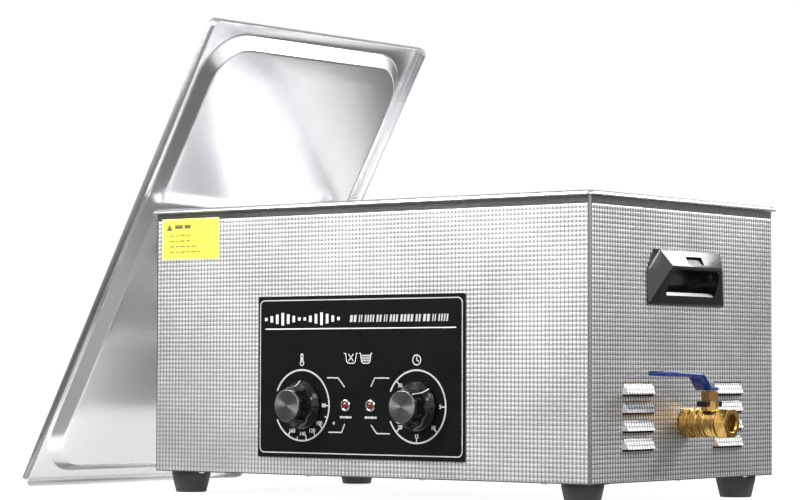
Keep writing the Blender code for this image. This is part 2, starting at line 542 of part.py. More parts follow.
for k in range(7):
    a = 2 * math.pi * k / 7
    rows = []
    for r, lean, half in ((13.5, 0.62, 9.0), (24, 0.45, 10.0), (35.2, 0.34, 10.5)):
        row = []
        for side, thick in ((-1, 1), (1, 1), (1, -1), (-1, -1)):
            turn = a + side * half * math.cos(lean) / r + thick * 0.6 / r
            row.append((r * math.cos(turn), r * math.sin(turn), 1.2 + side * half * math.sin(lean) - thick * 0.45))
        rows.append(row)
    loft(blades, rows)
boolean(rotor, solid("fan_blades", blades, None, (FAN_X, 142.4, FAN_Z), BACK), "UNION")
guard_bm = bmesh.new()
guard = solid("fan_guard", boxes(((-1.1, -37.0, 0.35), (1.1, 37.0, 2.0)), ((-37.0, -1.1, 0.5), (37.0, 1.1, 1.9))), "nut_steel",
              (FAN_X, 156.4, FAN_Z), BACK)
for i, r in enumerate((12.0, 20.5, 29.0, 37.5)):
    hoop = turned("guard_hoop_%d" % i, [(r + 1.0, 2.2), (r + 1.0, 0.4), (r - 1.0, 0.4), (r - 1.0, 2.2)], 24, None, (FAN_X, 156.4, FAN_Z), BACK,
                  ring=True)
    boolean(guard, hoop, "UNION")
ears = bmesh.new()
for sx in (1, -1):
    for sy in (1, -1):
        rod(ears, (sx * 35.75, sy * 35.75, 0.35), (sx * 35.75, sy * 35.75, 2.3), 4.0, 12)
        a = Vector((sx * 25.8, sy * 25.8, 1.2))
        rod(ears, a, (sx * 34.5, sy * 34.5, 1.2), 0.85, 8)
boolean(guard, solid("guard_ears", ears, None, (FAN_X, 156.4, FAN_Z), BACK), "UNION")

# Power inlet with its fuse drawer below the socket
inlet = solid("power_inlet", boxes(((-24, 156.8, -19), (24, 159.4, 19)), ((-14, 131, -17.5), (14, 158, 17.5))), "black_plastic",
              (INLET_X, 0, INLET_Z))
bevel(inlet, 0.5, 1)
socket = bmesh.new()
prism(socket, [(-12.2, -3.5), (12.2, -3.5), (12.2, 9.0), (8.0, 13.2), (-8.0, 13.2), (-12.2, 9.0)], 142, 162, "Y")
box(socket, (-10.2, 136, -14.3), (10.2, 165, -7.3))
boolean(inlet, solid("inlet_cuts", socket, None, (INLET_X, 0, INLET_Z)))
pins = boxes(((-8.0, 140, 2.0), (-6.0, 155, 6.0)), ((6.0, 140, 2.0), (8.0, 155, 6.0)), ((-1.0, 140, 6.5), (1.0, 155, 10.5)))
boolean(inlet, solid("inlet_pins", pins, None, (INLET_X, 0, INLET_Z)), "UNION")
solid("fuse_drawer", boxes(((-9.8, -23.0, -3.1), (9.8, 1.2, 3.1))), "black_plastic", (INLET_X, 159.4, INLET_Z - 10.8))

# ---------------------------------------------------------------- lid, drawn flat: local X to the back, Y up the slope, Z towards the unit
d1 = Vector((math.cos(LID_LEAN) * math.cos(LID_TURN), math.cos(LID_LEAN) * math.sin(LID_TURN), math.sin(LID_LEAN)))
d2 = Vector((-math.sin(LID_TURN), math.cos(LID_TURN), 0))
d3 = d2.cross(d1)
LID_ROT = Matrix((d2, d1, d3)).transposed().to_euler()
# The lid's lip stands on the floor and its pressed panel leans on the rim's left edge.
LID_Y0 = -157.25
base = Vector((0, LID_Y0, -LID_LIP * d3.z + 0.02))
reach = min((Vector((-RIM_X, y, RIM_Z)) - base).dot(d3) for y in (-RIM_Y, RIM_Y))
LID_AT = (base.x + (reach - LID_PRESS - 0.6) / d3.x, LID_Y0, base.z)


def lid_ring(inset, radius, z):
    return rounded(LID_B / 2 - inset, LID_L / 2 - inset, radius, z, LID_B / 2, LID_L / 2, steps=6)


T = LID_SHEET
near, far = LID_FLANGE, LID_FLANGE + LID_RUN
lid_rings = [lid_ring(far + 2.5, 38, LID_PRESS), lid_ring(far, 41, LID_PRESS - 0.9), lid_ring(near + 1.2, 47, 0.9), lid_ring(near - 1.5, 48, 0.0),
             lid_ring(T + 0.8, 6.2, 0.0), lid_ring(T, 6.2, 0.8), lid_ring(T, 6.2, LID_LIP), lid_ring(0, 7, LID_LIP), lid_ring(0, 7, 0.2), lid_ring(1.0, 6.4, -T),
             lid_ring(near - 1.1, 48, -T), lid_ring(near + 1.9, 46.6, 0.3), lid_ring(far + 0.6, 40.6, LID_PRESS - 1.6), lid_ring(far + 2.9, 38, LID_PRESS - T)]
lid_bm = bmesh.new()
loft(lid_bm, lid_rings)
lid = solid("lid_pan", lid_bm, "lid_steel", LID_AT, LID_ROT)
MID = (LID_B / 2, LID_L / 2)
lid_holes = bmesh.new()
for s in (1, -1):
    rod(lid_holes, (MID[0], MID[1] + s * 52, 0), (MID[0], MID[1] + s * 52, 20), 2.6, 12)
boolean(lid, solid("lid_screw_holes", lid_holes, None, LID_AT, LID_ROT))
top = LID_PRESS - T - GAP
grip_rings = []
for y, z, w, t in ((-62, top - 2.5, 9.0, 2.4), (-50, top - 3.5, 9.5, 3.4), (-40, top - 20.0, 8.0, 4.2), (-26, top - 25.5, 8.5, 3.8), (0, top - 27.0, 9.0, 3.6),
                   (26, top - 25.5, 8.5, 3.8), (40, top - 20.0, 8.0, 4.2), (50, top - 3.5, 9.5, 3.4), (62, top - 2.5, 9.0, 2.4)):
    grip_rings.append([(MID[0] + w * math.cos(a) , MID[1] + y, z + t * math.sin(a)) for a in [2 * math.pi * k / 12 for k in range(12)]])
grip_bm = bmesh.new()
loft(grip_bm, grip_rings)
handle = solid("lid_handle", grip_bm, "black_plastic", LID_AT, LID_ROT)
pads = bmesh.new()
for s in (1, -1):
    rod(pads, (MID[0], MID[1] + s * 52, top - 6.0), (MID[0], MID[1] + s * 52, top), 9.0, 20)
boolean(handle, solid("handle_pads", pads, None, LID_AT, LID_ROT), "UNION")
pilots = bmesh.new()
for s in (1, -1):
    rod(pilots, (MID[0], MID[1] + s * 52, top - 5.2), (MID[0], MID[1] + s * 52, top + 6), 2.6, 12)
boolean(handle, solid("handle_pilots", pilots, None, LID_AT, LID_ROT))
for s, tag in ((1, "upper"), (-1, "lower")):
    turned("lid_screw_" + tag, [(0, 2.6), (2.4, 2.4), (3.9, 1.4), (4.2, 0.3), (2.3, 0.3), (2.3, -5.6), (0, -5.6)], 16, "nut_steel",
           tuple(Vector(LID_AT) + d2 * MID[0] + d1 * (MID[1] + s * 52) + d3 * LID_PRESS), LID_ROT)
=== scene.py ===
"""Looks for the bench ultrasonic cleaner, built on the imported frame."""

import json
import math
import random

import bmesh
import bpy
from mathutils import Matrix, Vector


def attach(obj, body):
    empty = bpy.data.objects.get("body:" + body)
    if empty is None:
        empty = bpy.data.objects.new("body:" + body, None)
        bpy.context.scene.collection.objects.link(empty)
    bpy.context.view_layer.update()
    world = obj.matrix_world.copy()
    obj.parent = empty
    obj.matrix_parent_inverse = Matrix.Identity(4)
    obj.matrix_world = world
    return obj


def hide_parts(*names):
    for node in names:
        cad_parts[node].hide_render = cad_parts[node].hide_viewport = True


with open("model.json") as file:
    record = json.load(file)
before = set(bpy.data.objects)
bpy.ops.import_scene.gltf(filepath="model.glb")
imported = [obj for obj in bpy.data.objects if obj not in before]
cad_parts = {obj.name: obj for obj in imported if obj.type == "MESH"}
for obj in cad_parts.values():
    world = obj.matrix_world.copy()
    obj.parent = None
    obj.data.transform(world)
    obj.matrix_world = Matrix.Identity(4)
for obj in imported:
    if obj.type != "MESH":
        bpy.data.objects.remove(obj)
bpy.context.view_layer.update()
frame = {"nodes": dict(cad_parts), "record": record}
NODES = frame["nodes"]

MM = 0.001
SHIFT = (70.16, 6.04)  # unit frame (mm, centred under the housing) to the row frame
random.seed(7)


def W(x, y, z):
    return Vector(((x + SHIFT[0]) * MM, (y + SHIFT[1]) * MM, z * MM))


# ------------------------------------------------------------------ materials
class Net:
    """A small helper round one material's node tree."""

    def __init__(self, name, base=(0.8, 0.8, 0.8), metallic=0.0, rough=0.5, **sockets):
        self.mat = bpy.data.materials.new(name)
        self.mat.use_nodes = True
        self.tree = self.mat.node_tree
        self.shader = self.tree.nodes["Principled BSDF"]
        self.set("Base Color", (*base, 1))
        self.set("Metallic", metallic)
        self.set("Roughness", rough)
        for key, value in sockets.items():
            self.set(key.replace("_", " "), value)
        self._space = None

    def set(self, socket, value):
        self.shader.inputs[socket].default_value = value

    def node(self, kind, **values):
        made = self.tree.nodes.new(kind)
        for key, value in values.items():
            setattr(made, key, value)
        return made

    def link(self, a, b):
        self.tree.links.new(a, b)

    def space(self):
        if self._space is None:
            self._space = self.node("ShaderNodeTexCoord").outputs["Object"]
        return self._space

    def put(self, socket, value):
        if isinstance(value, (int, float, tuple)):
            socket.default_value = value
        else:
            self.link(value, socket)

    def math(self, op, a, b=0.0, c=0.0):
        n = self.node("ShaderNodeMath", operation=op)
        self.put(n.inputs[0], a)
        self.put(n.inputs[1], b)
        if op in ("MULTIPLY_ADD", "SMOOTH_MIN", "SMOOTH_MAX", "COMPARE"):
            self.put(n.inputs[2], c)
        return n.outputs[0]

    def axes(self):
        n = self.node("ShaderNodeSeparateXYZ")
        self.link(self.space(), n.inputs[0])
        return n.outputs

    def noise(self, scale, detail=3.0, rough=0.5, stretch=None, dist=0.0):
        n = self.node("ShaderNodeTexNoise")
        n.inputs["Scale"].default_value = scale
        n.inputs["Detail"].default_value = detail
        n.inputs["Roughness"].default_value = rough
        n.inputs["Distortion"].default_value = dist
        where = self.space()
        if stretch:
            m = self.node("ShaderNodeMapping")
            m.inputs["Scale"].default_value = stretch
            self.link(where, m.inputs["Vector"])
            where = m.outputs[0]
        self.link(where, n.inputs["Vector"])
        return n.outputs["Fac"]

    def remap(self, value, lo, hi, a=0.0, b=1.0):
        n = self.node("ShaderNodeMapRange")
        self.link(value, n.inputs["Value"])
        for key, v in (("From Min", a), ("From Max", b), ("To Min", lo), ("To Max", hi)):
            n.inputs[key].default_value = v
        return n.outputs["Result"]

    def tint(self, value, stops):
        n = self.node("ShaderNodeValToRGB")
        ramp = n.color_ramp
        while len(ramp.elements) < len(stops):
            ramp.elements.new(0.5)
        for e, (at, col) in zip(ramp.elements, stops):
            e.position = at
            e.color = (*col, 1)
        self.link(value, n.inputs[0])
        return n.outputs[0]

    def rough(self, value):
        self.put(self.shader.inputs["Roughness"], value)
        return self

    def colour(self, value):
        self.put(self.shader.inputs["Base Color"], value)
        return self

    def bump(self, height, distance, strength=1.0, after=None):
        n = self.node("ShaderNodeBump")
        n.inputs["Distance"].default_value = distance
        n.inputs["Strength"].default_value = strength
        self.link(height, n.inputs["Height"])
        if after is not None:
            self.link(after, n.inputs["Normal"])
        self.link(n.outputs[0], self.shader.inputs["Normal"])
        return n.outputs[0]


def embossed(name, axis=None, pitch=(4.16, 4.16), start=(0.0, 0.0), strength=0.45, shade_scale=1.0, groove_shade=0.10):
    """Stainless sheet rolled with a square pillow grid; the pitch and start of the grid in mm along `axis` and Z. Its
    colour is painted darker in the grooves as shade, more in the horizontal ones, and the whole colour can be scaled
    down as a painted shade copy.
    """
    net = Net(name, (0.80, 0.80, 0.81), 1.0, 0.24)
    x, y, z = net.axes()
    along = net.math("ADD", x, y) if axis is None else (x, y)[axis]
    u = net.math("MULTIPLY", net.math("SUBTRACT", along, start[0] * MM), math.pi / (pitch[0] * MM))
    v = net.math("MULTIPLY", net.math("SUBTRACT", z, start[1] * MM), math.pi / (pitch[1] * MM))
    su = net.math("ABSOLUTE", net.math("SINE", u))
    sv = net.math("ABSOLUTE", net.math("SINE", v))
    pillow = net.math("MULTIPLY", net.math("POWER", su, 0.7), net.math("POWER", sv, 0.7))
    fine = net.noise(900.0, 2.0)
    height = net.math("ADD", pillow, net.math("MULTIPLY", fine, 0.05))
    net.bump(height, 0.00022, strength)
    smudge = net.noise(9.0, 4.0, 0.6)
    net.rough(net.remap(smudge, 0.40, 0.52, 0.3, 0.7))
    # Painted shade: the colour darkens into the grooves, the horizontal grooves more than the vertical ones, as if lit
    # from above.
    groove_shade_mask = net.math("MULTIPLY", net.remap(net.math("POWER", su, 1.1), 0.10, 1.0, 0.05, 0.85), net.remap(net.math("POWER", sv, 0.7), 0.26, 1.0, 0.0, 0.8))
    shade = net.tint(groove_shade_mask, [(0.0, (groove_shade * shade_scale,) * 3), (0.45, ((0.45 + 0.5 * groove_shade) * shade_scale,) * 3), (0.9, (0.95 * shade_scale,) * 3)])
    net.colour(shade)
    return net.mat


def brushed(name, base, rough, grain=(3.0, 3.0, 160.0), depth=0.00001, spread=0.06):
    net = Net(name, base, 1.0, rough)
    lines = net.noise(8.0, 6.0, 0.65, grain)
    blotch = net.noise(7.0, 3.0, 0.5)
    mixed = net.math("ADD", net.math("MULTIPLY", lines, 0.6), net.math("MULTIPLY", blotch, 0.4))
    net.rough(net.remap(mixed, rough - spread, rough + spread, 0.3, 0.7))
    net.bump(lines, depth, 0.6)
    return net.mat


def mirror():
    net = Net("bright_lid_steel", (0.78, 0.78, 0.79), 1.0, 0.2)
    haze = net.noise(5.0, 4.0, 0.6)
    lines = net.noise(10.0, 5.0, 0.6, (2.0, 60.0, 2.0))
    net.rough(net.remap(haze, 0.19, 0.27, 0.3, 0.7))
    wave = net.noise(6.0, 1.0, 0.4)
    first = net.bump(wave, 0.0006, 0.35)
    net.bump(lines, 0.000004, 0.5, first)
    return net.mat


def plastic(name, base, rough, grain=2200.0, depth=0.00002, spread=0.05, coat=0.0, specular=0.5):
    net = Net(name, base, 0.0, rough)
    net.set("Specular IOR Level", specular)
    worn = net.noise(45.0, 4.0, 0.6)
    net.colour(net.tint(worn, [(0.3, base), (0.8, tuple(c * 1.5 for c in base))]))
    if coat:
        net.set("Coat Weight", coat)
        net.set("Coat Roughness", 0.04)
    fine = net.noise(grain, 2.0)
    wear = net.noise(30.0, 5.0, 0.6)
    net.rough(net.remap(wear, rough - spread, rough + spread, 0.3, 0.7))
    if depth:
        net.bump(fine, depth, 0.5)
    return net.mat


def brass():
    net = Net("polished_brass", (0.66, 0.40, 0.12), 1.0, 0.2)
    stain = net.noise(60.0, 5.0, 0.6)
    net.colour(net.tint(stain, [(0.25, (0.46, 0.25, 0.06)), (0.55, (0.68, 0.42, 0.13)), (0.8, (0.84, 0.58, 0.22))]))
    net.rough(net.remap(net.noise(220.0, 4.0), 0.14, 0.32, 0.3, 0.7))
    net.bump(net.noise(900.0, 3.0), 0.00002, 0.5)
    return net.mat


def spun():
    """Aluminium faced on a lathe."""
    net = Net("spun_cap", (0.31, 0.31, 0.315), 1.0, 0.24)
    net.set("Anisotropic", 0.9)
    tangent = net.node("ShaderNodeTangent", direction_type="RADIAL", axis="Z")
    net.link(tangent.outputs[0], net.shader.inputs["Tangent"])
    n = net.node("ShaderNodeTexCoord")
    split = net.node("ShaderNodeSeparateXYZ")
    net.link(n.outputs["Object"], split.inputs[0])
    r = net.math("SQRT", net.math("ADD", net.math("POWER", split.outputs[0], 2.0), net.math("POWER", split.outputs[1], 2.0)))
    ring = net.math("SINE", net.math("MULTIPLY", r, 9000.0))
    net.bump(ring, 0.000006, 0.7)
    net.rough(net.remap(ring, 0.22, 0.34, -1.0, 1.0))
    return net.mat


def lamp():
    net = Net("red_lens", (0.15, 0.006, 0.009), 0.0, 0.08)
    net.set("Coat Weight", 1.0)
    net.set("Coat Roughness", 0.03)
    net.set("Transmission Weight", 0.15)
    net.rough(net.remap(net.noise(400.0), 0.06, 0.14, 0.3, 0.7))
    return net.mat


def printed(name, base, rough=0.4):
    net = Net(name, base, 0.0, rough)
    net.colour(net.tint(net.noise(500.0, 3.0), [(0.2, tuple(c * 0.9 for c in base)), (0.6, base)]))
    net.rough(net.remap(net.noise(80.0), rough - 0.05, rough + 0.08, 0.3, 0.7))
    return net.mat


def rubber():
    net = Net("foot_rubber", (0.018, 0.018, 0.019), 0.0, 0.62)
    net.rough(net.remap(net.noise(60.0, 5.0), 0.5, 0.75, 0.3, 0.7))
    net.bump(net.noise(1500.0, 3.0), 0.00005, 0.6)
    return net.mat


EMBOSSED = embossed("embossed_stainless", strength=0.8)
# The louvre hoods get a copy of the embossed stainless at half brightness: painted shade against the light on their
# slopes.
HOOD_SHADED_M = embossed("embossed_hood_painted_shade", strength=0.9, shade_scale=0.5)
TANK = brushed("tank_satin", (0.80, 0.80, 0.81), 0.24, (160.0, 3.0, 3.0), 0.000003)
PLATE = brushed("plain_plate", (0.55, 0.56, 0.57), 0.36, (120.0, 3.0, 3.0))
RIM = brushed("rim_steel", (0.82, 0.82, 0.83), 0.17, (90.0, 90.0, 3.0))
# Plain wall steel painted dark as shade: it stands in for the shadow band under the rim and the shade on the louvre
# gussets.
WALL_SHADE_M = brushed("wall_steel_painted_shade", (0.34, 0.34, 0.35), 0.26, (3.0, 3.0, 120.0))
LIDM = mirror()
BLACK = plastic("moulded_black", (0.004, 0.004, 0.0045), 0.24, 1500.0, 0.00001, specular=0.4)
GRIPM = plastic("grip_black", (0.004, 0.004, 0.0045), 0.2, 1500.0, 0.00001, specular=1.0)
GLOSS = plastic("knob_gloss", (0.004, 0.004, 0.004), 0.12, 900.0, 0.000002, 0.03, specular=0.5)
PANEL = plastic("panel_overlay", (0.0035, 0.0035, 0.004), 0.36, 2500.0, 0.00001, specular=0.12)
BRASS = brass()
SPUN = spun()
LAMPM = lamp()
CHROME = brushed("bright_plate", (0.78, 0.78, 0.79), 0.12, (40.0, 40.0, 40.0), 0.000004, 0.04)
NUTD = brushed("dull_nut", (0.26, 0.255, 0.25), 0.16, (60.0, 60.0, 60.0), 0.000006, 0.06)
NUTM = brushed("plated_steel", (0.62, 0.61, 0.59), 0.2, (60.0, 60.0, 60.0), 0.000006, 0.06)
BRASSD = brushed("gland_brass", (0.30, 0.16, 0.06), 0.24, (60.0, 60.0, 60.0), 0.00001, 0.08)
# Dark stop-plate steel; it also paints the shadow strips under the louvre hoods.
STOP_PLATE_AND_SHADOW_M = brushed("stop_plate_and_painted_shadow", (0.06, 0.052, 0.045), 0.2, (60.0, 60.0, 60.0), 0.000008, 0.06)
BLUE = plastic("lever_coating", (0.004, 0.022, 0.13), 0.26, 700.0, 0.00002, 0.05, coat=0.15)
WHITE = printed("print_white", (0.60, 0.60, 0.59), 0.45)
GREY = printed("print_grey", (0.42, 0.42, 0.415), 0.45)
YELLOW = printed("label_yellow", (0.88, 0.80, 0.05), 0.42)
INK = printed("label_ink", (0.10, 0.09, 0.03), 0.5)
PALE = printed("label_edge", (0.80, 0.70, 0.16), 0.45)
FADED = printed("label_lines", (0.20, 0.17, 0.03), 0.5)
RUBBER = rubber()
SEAT = printed("seat_white", (0.82, 0.82, 0.80), 0.4)
ALU = brushed("machined_aluminium", (0.60, 0.61, 0.62), 0.34, (80.0, 80.0, 4.0))
HEATER = printed("heater_pad", (0.50, 0.16, 0.04), 0.65)
BOARD = printed("board_green", (0.02, 0.15, 0.06), 0.45)
CORE = brushed("core_laminations", (0.20, 0.20, 0.22), 0.5, (3.0, 200.0, 3.0), 0.00003)

BY_SLOT = {"embossed_steel": EMBOSSED, "tank_steel": TANK, "lid_steel": LIDM, "plate_steel": PLATE, "black_plastic": BLACK,
           "knob_black": GLOSS, "panel_black": PANEL, "black_rubber": RUBBER, "spun_aluminium": SPUN, "label_yellow": YELLOW,
           "lamp_red": LAMPM, "bezel_chrome": CHROME, "brass": BRASS, "lever_blue": BLUE, "nut_steel": NUTM, "white_seat": SEAT,
           "cast_aluminium": ALU, "heater_orange": HEATER, "board_green": BOARD, "core_steel": CORE}
for row in frame["record"]["subparts"]:
    ob = NODES[row["node"]]
    mat = BY_SLOT[row["material_slot"]]
    if not ob.material_slots:
        ob.data.materials.append(mat)
    for held in ob.material_slots:
        held.material = mat


# ------------------------------------------------------------------ geometry helpers
def piece(name, bm, mat, body, at=(0, 0, 0), rot=(0, 0, 0), stands_for=(), sharp=32, width=0.0, segments=3, fix=True):
    """A finished piece from a bmesh in millimetres about `at` in the unit frame."""
    bmesh.ops.scale(bm, vec=(MM,) * 3, verts=bm.verts)
    if fix:
        bmesh.ops.recalc_face_normals(bm, faces=bm.faces)
    mesh = bpy.data.meshes.new(name)
    bm.to_mesh(mesh)
    bm.free()
    mesh.materials.append(mat)
    ob = bpy.data.objects.new(name, mesh)
    bpy.context.scene.collection.objects.link(ob)
    ob.location = W(*at)
    ob.rotation_euler = rot
    if width:
        edge = ob.modifiers.new("edge", "BEVEL")
        edge.width = width * MM
        edge.segments = segments
        edge.limit_method = "ANGLE"
        edge.angle_limit = math.radians(28)
        edge.harden_normals = True
    mesh.shade_smooth()
    mesh.set_sharp_from_angle(angle=math.radians(sharp))
    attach(ob, body)
    if stands_for:
        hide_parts(*stands_for)
    return ob


def box(bm, lo, hi):
    mid = [(a + b) / 2 for a, b in zip(lo, hi)]
    size = [b - a for a, b in zip(lo, hi)]
    bmesh.ops.create_cube(bm, size=1, matrix=Matrix.Translation(mid) @ Matrix.Diagonal((*size, 1)))


def boxes(*pairs):
    bm = bmesh.new()
    for lo, hi in pairs:
        box(bm, lo, hi)
    return bm


def rod(bm, start, end, r, steps=24, r2=None):
    a, b = Vector(start), Vector(end)
    turn = (b - a).to_track_quat("Z", "Y").to_matrix().to_4x4()
    bmesh.ops.create_cone(bm, cap_ends=True, segments=steps, radius1=r, radius2=r if r2 is None else r2,
                          depth=(b - a).length, matrix=Matrix.Translation((a + b) / 2) @ turn)


def loft(bm, rings, caps=True, closed=False):
    rows = [[bm.verts.new(p) for p in ring] for ring in rings]
    pairs = list(zip(rows, rows[1:])) + ([(rows[-1], rows[0])] if closed else [])
    for a, b in pairs:
        for i in range(len(a)):
            bm.faces.new((a[i - 1], a[i], b[i], b[i - 1]))
    if caps and not closed:
        bm.faces.new(rows[0])
        bm.faces.new(rows[-1])
    return rows


def rounded(hx, hy, r, z, cx=0.0, cy=0.0, steps=8):
    found = []
    for sx, sy, start in ((1, 1, 0), (-1, 1, 90), (-1, -1, 180), (1, -1, 270)):
        for k in range(steps + 1):
            a = math.radians(start + 90 * k / steps)
            found.append((cx + sx * (hx - r) + r * math.cos(a), cy + sy * (hy - r) + r * math.sin(a), z))
    return found


def lathe(profile, steps=64, closed=False, bm=None):
    """Rings of a turned profile of (radius, height); radius 0 ends are capped by a small fan."""
    bm = bm or bmesh.new()
    rows = []
    for r, z in profile:
        if r < 1e-6:
            rows.append([bm.verts.new((0, 0, z))])
        else:
            rows.append([bm.verts.new((r * math.cos(2 * math.pi * k / steps), r * math.sin(2 * math.pi * k / steps), z)) for k in range(steps)])
    pairs = list(zip(rows, rows[1:])) + ([(rows[-1], rows[0])] if closed else [])
    for a, b in pairs:
        if len(a) == 1 and len(b) == 1:
            continue
        for i in range(steps):
            if len(a) == 1:
                bm.faces.new((a[0], b[i - 1], b[i]))
            elif len(b) == 1:
                bm.faces.new((a[i - 1], a[i], b[0]))
            else:
                bm.faces.new((a[i - 1], a[i], b[i], b[i - 1]))
    return bm


def soften(profile, radius=0.25, steps=3, closed=False):
    """Rounds each corner of a turned profile that isn't on the axis."""
    out = []
    n = len(profile)
    for i, p in enumerate(profile):
        if not closed and i in (0, n - 1):
            out.append(p)
            continue
        a, b = Vector(profile[i - 1]), Vector(profile[(i + 1) % n])
        c = Vector(p)
        if c.x < 1e-6:
            out.append(p)
            continue
        la, lb = (a - c).length, (b - c).length
        k = min(radius, la * 0.45, lb * 0.45)
        s, e = c + (a - c).normalized() * k, c + (b - c).normalized() * k
        for j in range(steps + 1):
            t = j / steps
            q = s * (1 - t) ** 2 + c * 2 * t * (1 - t) + e * t ** 2
            out.append((q.x, q.y))
    return out


def prism(bm, outline, lo, hi, axis="Z"):
    def at(u, v, w):
        return {"Z": (u, v, w), "Y": (u, w, v), "X": (w, u, v)}[axis]

    low = [bm.verts.new(at(u, v, lo)) for u, v in outline]
    high = [bm.verts.new(at(u, v, hi)) for u, v in outline]
    for i in range(len(outline)):
        bm.faces.new((low[i - 1], low[i], high[i], high[i - 1]))
    bm.faces.new(low)
    bm.faces.new(high)


CUTS = bpy.data.collections.new("scene_cutters")
bpy.context.scene.collection.children.link(CUTS)
CUTS.hide_render = True


def cut(ob, bm, op="DIFFERENCE", at=(0, 0, 0), rot=(0, 0, 0)):
    """Applies a Boolean now, so that no cutter is left in the scene."""
    bmesh.ops.scale(bm, vec=(MM,) * 3, verts=bm.verts)
    bmesh.ops.recalc_face_normals(bm, faces=bm.faces)
    mesh = bpy.data.meshes.new(ob.name + "_cutter")
    bm.to_mesh(mesh)
    bm.free()
    tool = bpy.data.objects.new(mesh.name, mesh)
    CUTS.objects.link(tool)
    tool.location = W(*at)
    tool.rotation_euler = rot
    mod = ob.modifiers.new("cut", "BOOLEAN")
    mod.operation = op
    mod.solver = "EXACT"
    mod.use_self = True
    mod.object = tool
    while ob.modifiers[0] != mod and ob.modifiers[0].type == "BEVEL":
        ob.modifiers.move(ob.modifiers.find(mod.name), 0)
    bpy.context.view_layer.update()
    graph = bpy.context.evaluated_depsgraph_get()
    made = bpy.data.meshes.new_from_object(ob.evaluated_get(graph), preserve_all_data_layers=True, depsgraph=graph)
    old = ob.data
    ob.modifiers.clear()
    ob.data = made
    bpy.data.meshes.remove(old)
    bpy.data.objects.remove(tool, do_unlink=True)
    return ob


def finish_edges(ob, width=0.4, segments=3, sharp=32):
    ob.data.shade_smooth()
    ob.data.set_sharp_from_angle(angle=math.radians(sharp))
    if width:
        edge = ob.modifiers.new("edge", "BEVEL")
        edge.width = width * MM
        edge.segments = segments
        edge.limit_method = "ANGLE"
        edge.angle_limit = math.radians(28)
        edge.harden_normals = True


FRONT = (math.pi / 2, 0, 0)
BACK = (-math.pi / 2, 0, 0)
RIGHT = (0, math.pi / 2, 0)
HX, HY = 260.5, 156.5
FACE = -HY - 1.3
KX, KZ = 69.0, 87.6
STEM_X, VALVE_Z = HX + 25.8, 73.5

# ------------------------------------------------------------------ tank with its flange
tank_rings = [rounded(236, 136, 18, 130.5), rounded(241, 141, 22, 131.0), rounded(245.2, 145.2, 26, 133.2), rounded(248.0, 148.0, 29, 136.8),
              rounded(249, 149, 30, 141.5), rounded(249, 149, 30, 273.5), rounded(249.4, 149.4, 30, 276.2), rounded(250.6, 150.6, 31, 278.6),
              rounded(252.4, 152.4, 33, 280.1), rounded(254.6, 154.6, 34, 280.5), rounded(261.0, 157.0, 6, 280.5), rounded(262.4, 158.4, 5.4, 280.3), rounded(263.5, 159.5, 5.0, 279.8),
              rounded(264.3, 160.3, 4.6, 278.9), rounded(264.8, 160.8, 4.5, 277.8), rounded(265, 161, 4.4, 276.8), rounded(265, 161, 4.4, 276.0),
              rounded(264.8, 160.8, 4.2, 275.8), rounded(264.3, 160.3, 4, 275.8), rounded(264.0, 160.0, 4, 276.2), rounded(263.7, 159.7, 4, 278.0),
              rounded(262.6, 158.6, 4.6, 279.1), rounded(261.0, 157.0, 5, 279.5), rounded(254.6, 154.6, 34, 279.5), rounded(251.6, 151.6, 32, 277.9),
              rounded(250, 150, 31, 273.9), rounded(250, 150, 31, 140), rounded(245, 145, 26, 131.6), rounded(236.5, 136.5, 18.5, 129.5)]
bm = bmesh.new()
loft(bm, tank_rings)
tank = piece("tank_shell", bm, TANK, "unit", stands_for=("tank",), sharp=50)
bm = bmesh.new()
rod(bm, (214, 0, 120), (214, 0, 136), 8.3, 32)
cut(tank, bm)
finish_edges(tank, 0, sharp=50)

# ------------------------------------------------------------------ lid
LID_L, LID_B = 536.0, 326.0
lean, twist = math.radians(59.68), math.radians(-2.0)
d1 = Vector((math.cos(lean) * math.cos(twist), math.cos(lean) * math.sin(twist), math.sin(lean)))
d2 = Vector((-math.sin(twist), math.cos(twist), 0))
d3 = d2.cross(d1)
LID_ROT = Matrix((d2, d1, d3)).transposed().to_euler()
base = Vector((0, -157.25, -8.5 * d3.z + 0.02))
reach = min((Vector((-265.0, y, 280.5)) - base).dot(d3) for y in (-161.0, 161.0))
LID_AT = (base.x + (reach - 10.5 - 0.6) / d3.x, -157.25, base.z)


def lid_ring(inset, radius, z):
    return rounded(LID_B / 2 - inset, LID_L / 2 - inset, radius, z, LID_B / 2, LID_L / 2, steps=20)


T = 0.8
lid_rings = [lid_ring(27.6, 37.0, 10.5), lid_ring(26.2, 38.4, 10.35), lid_ring(25.0, 39.6, 9.8), lid_ring(24.0, 40.8, 8.8),
             lid_ring(15.2, 47.2, 1.5), lid_ring(14.3, 47.8, 0.7), lid_ring(13.2, 48.2, 0.2), lid_ring(11.9, 48.4, 0.0),
             lid_ring(2.2, 5.6, 0.0), lid_ring(1.3, 6.0, 0.25), lid_ring(0.85, 6.4, 0.9), lid_ring(0.8, 6.6, 8.3), lid_ring(0.6, 6.7, 8.5),
             lid_ring(0.2, 6.9, 8.5), lid_ring(0.0, 7, 8.3), lid_ring(0.0, 7, 0.6), lid_ring(0.35, 6.8, -0.35), lid_ring(1.3, 6.2, -0.8),
             lid_ring(12.3, 48.2, -0.8), lid_ring(13.8, 47.6, -0.5), lid_ring(15.6, 46.8, 0.6), lid_ring(24.4, 40.4, 7.9), lid_ring(25.6, 39.4, 9.1),
             lid_ring(27.8, 37.0, 9.7)]
bm = bmesh.new()
loft(bm, lid_rings)
lid = piece("lid_sheet", bm, LIDM, "lid", LID_AT, LID_ROT, ("lid_pan",), sharp=60)

# ------------------------------------------------------------------ housing: the bent wall with its holes, the embossed skins and the louvre hoods
Z0, Z1 = 21.0, 279.0
BEND = 2.2


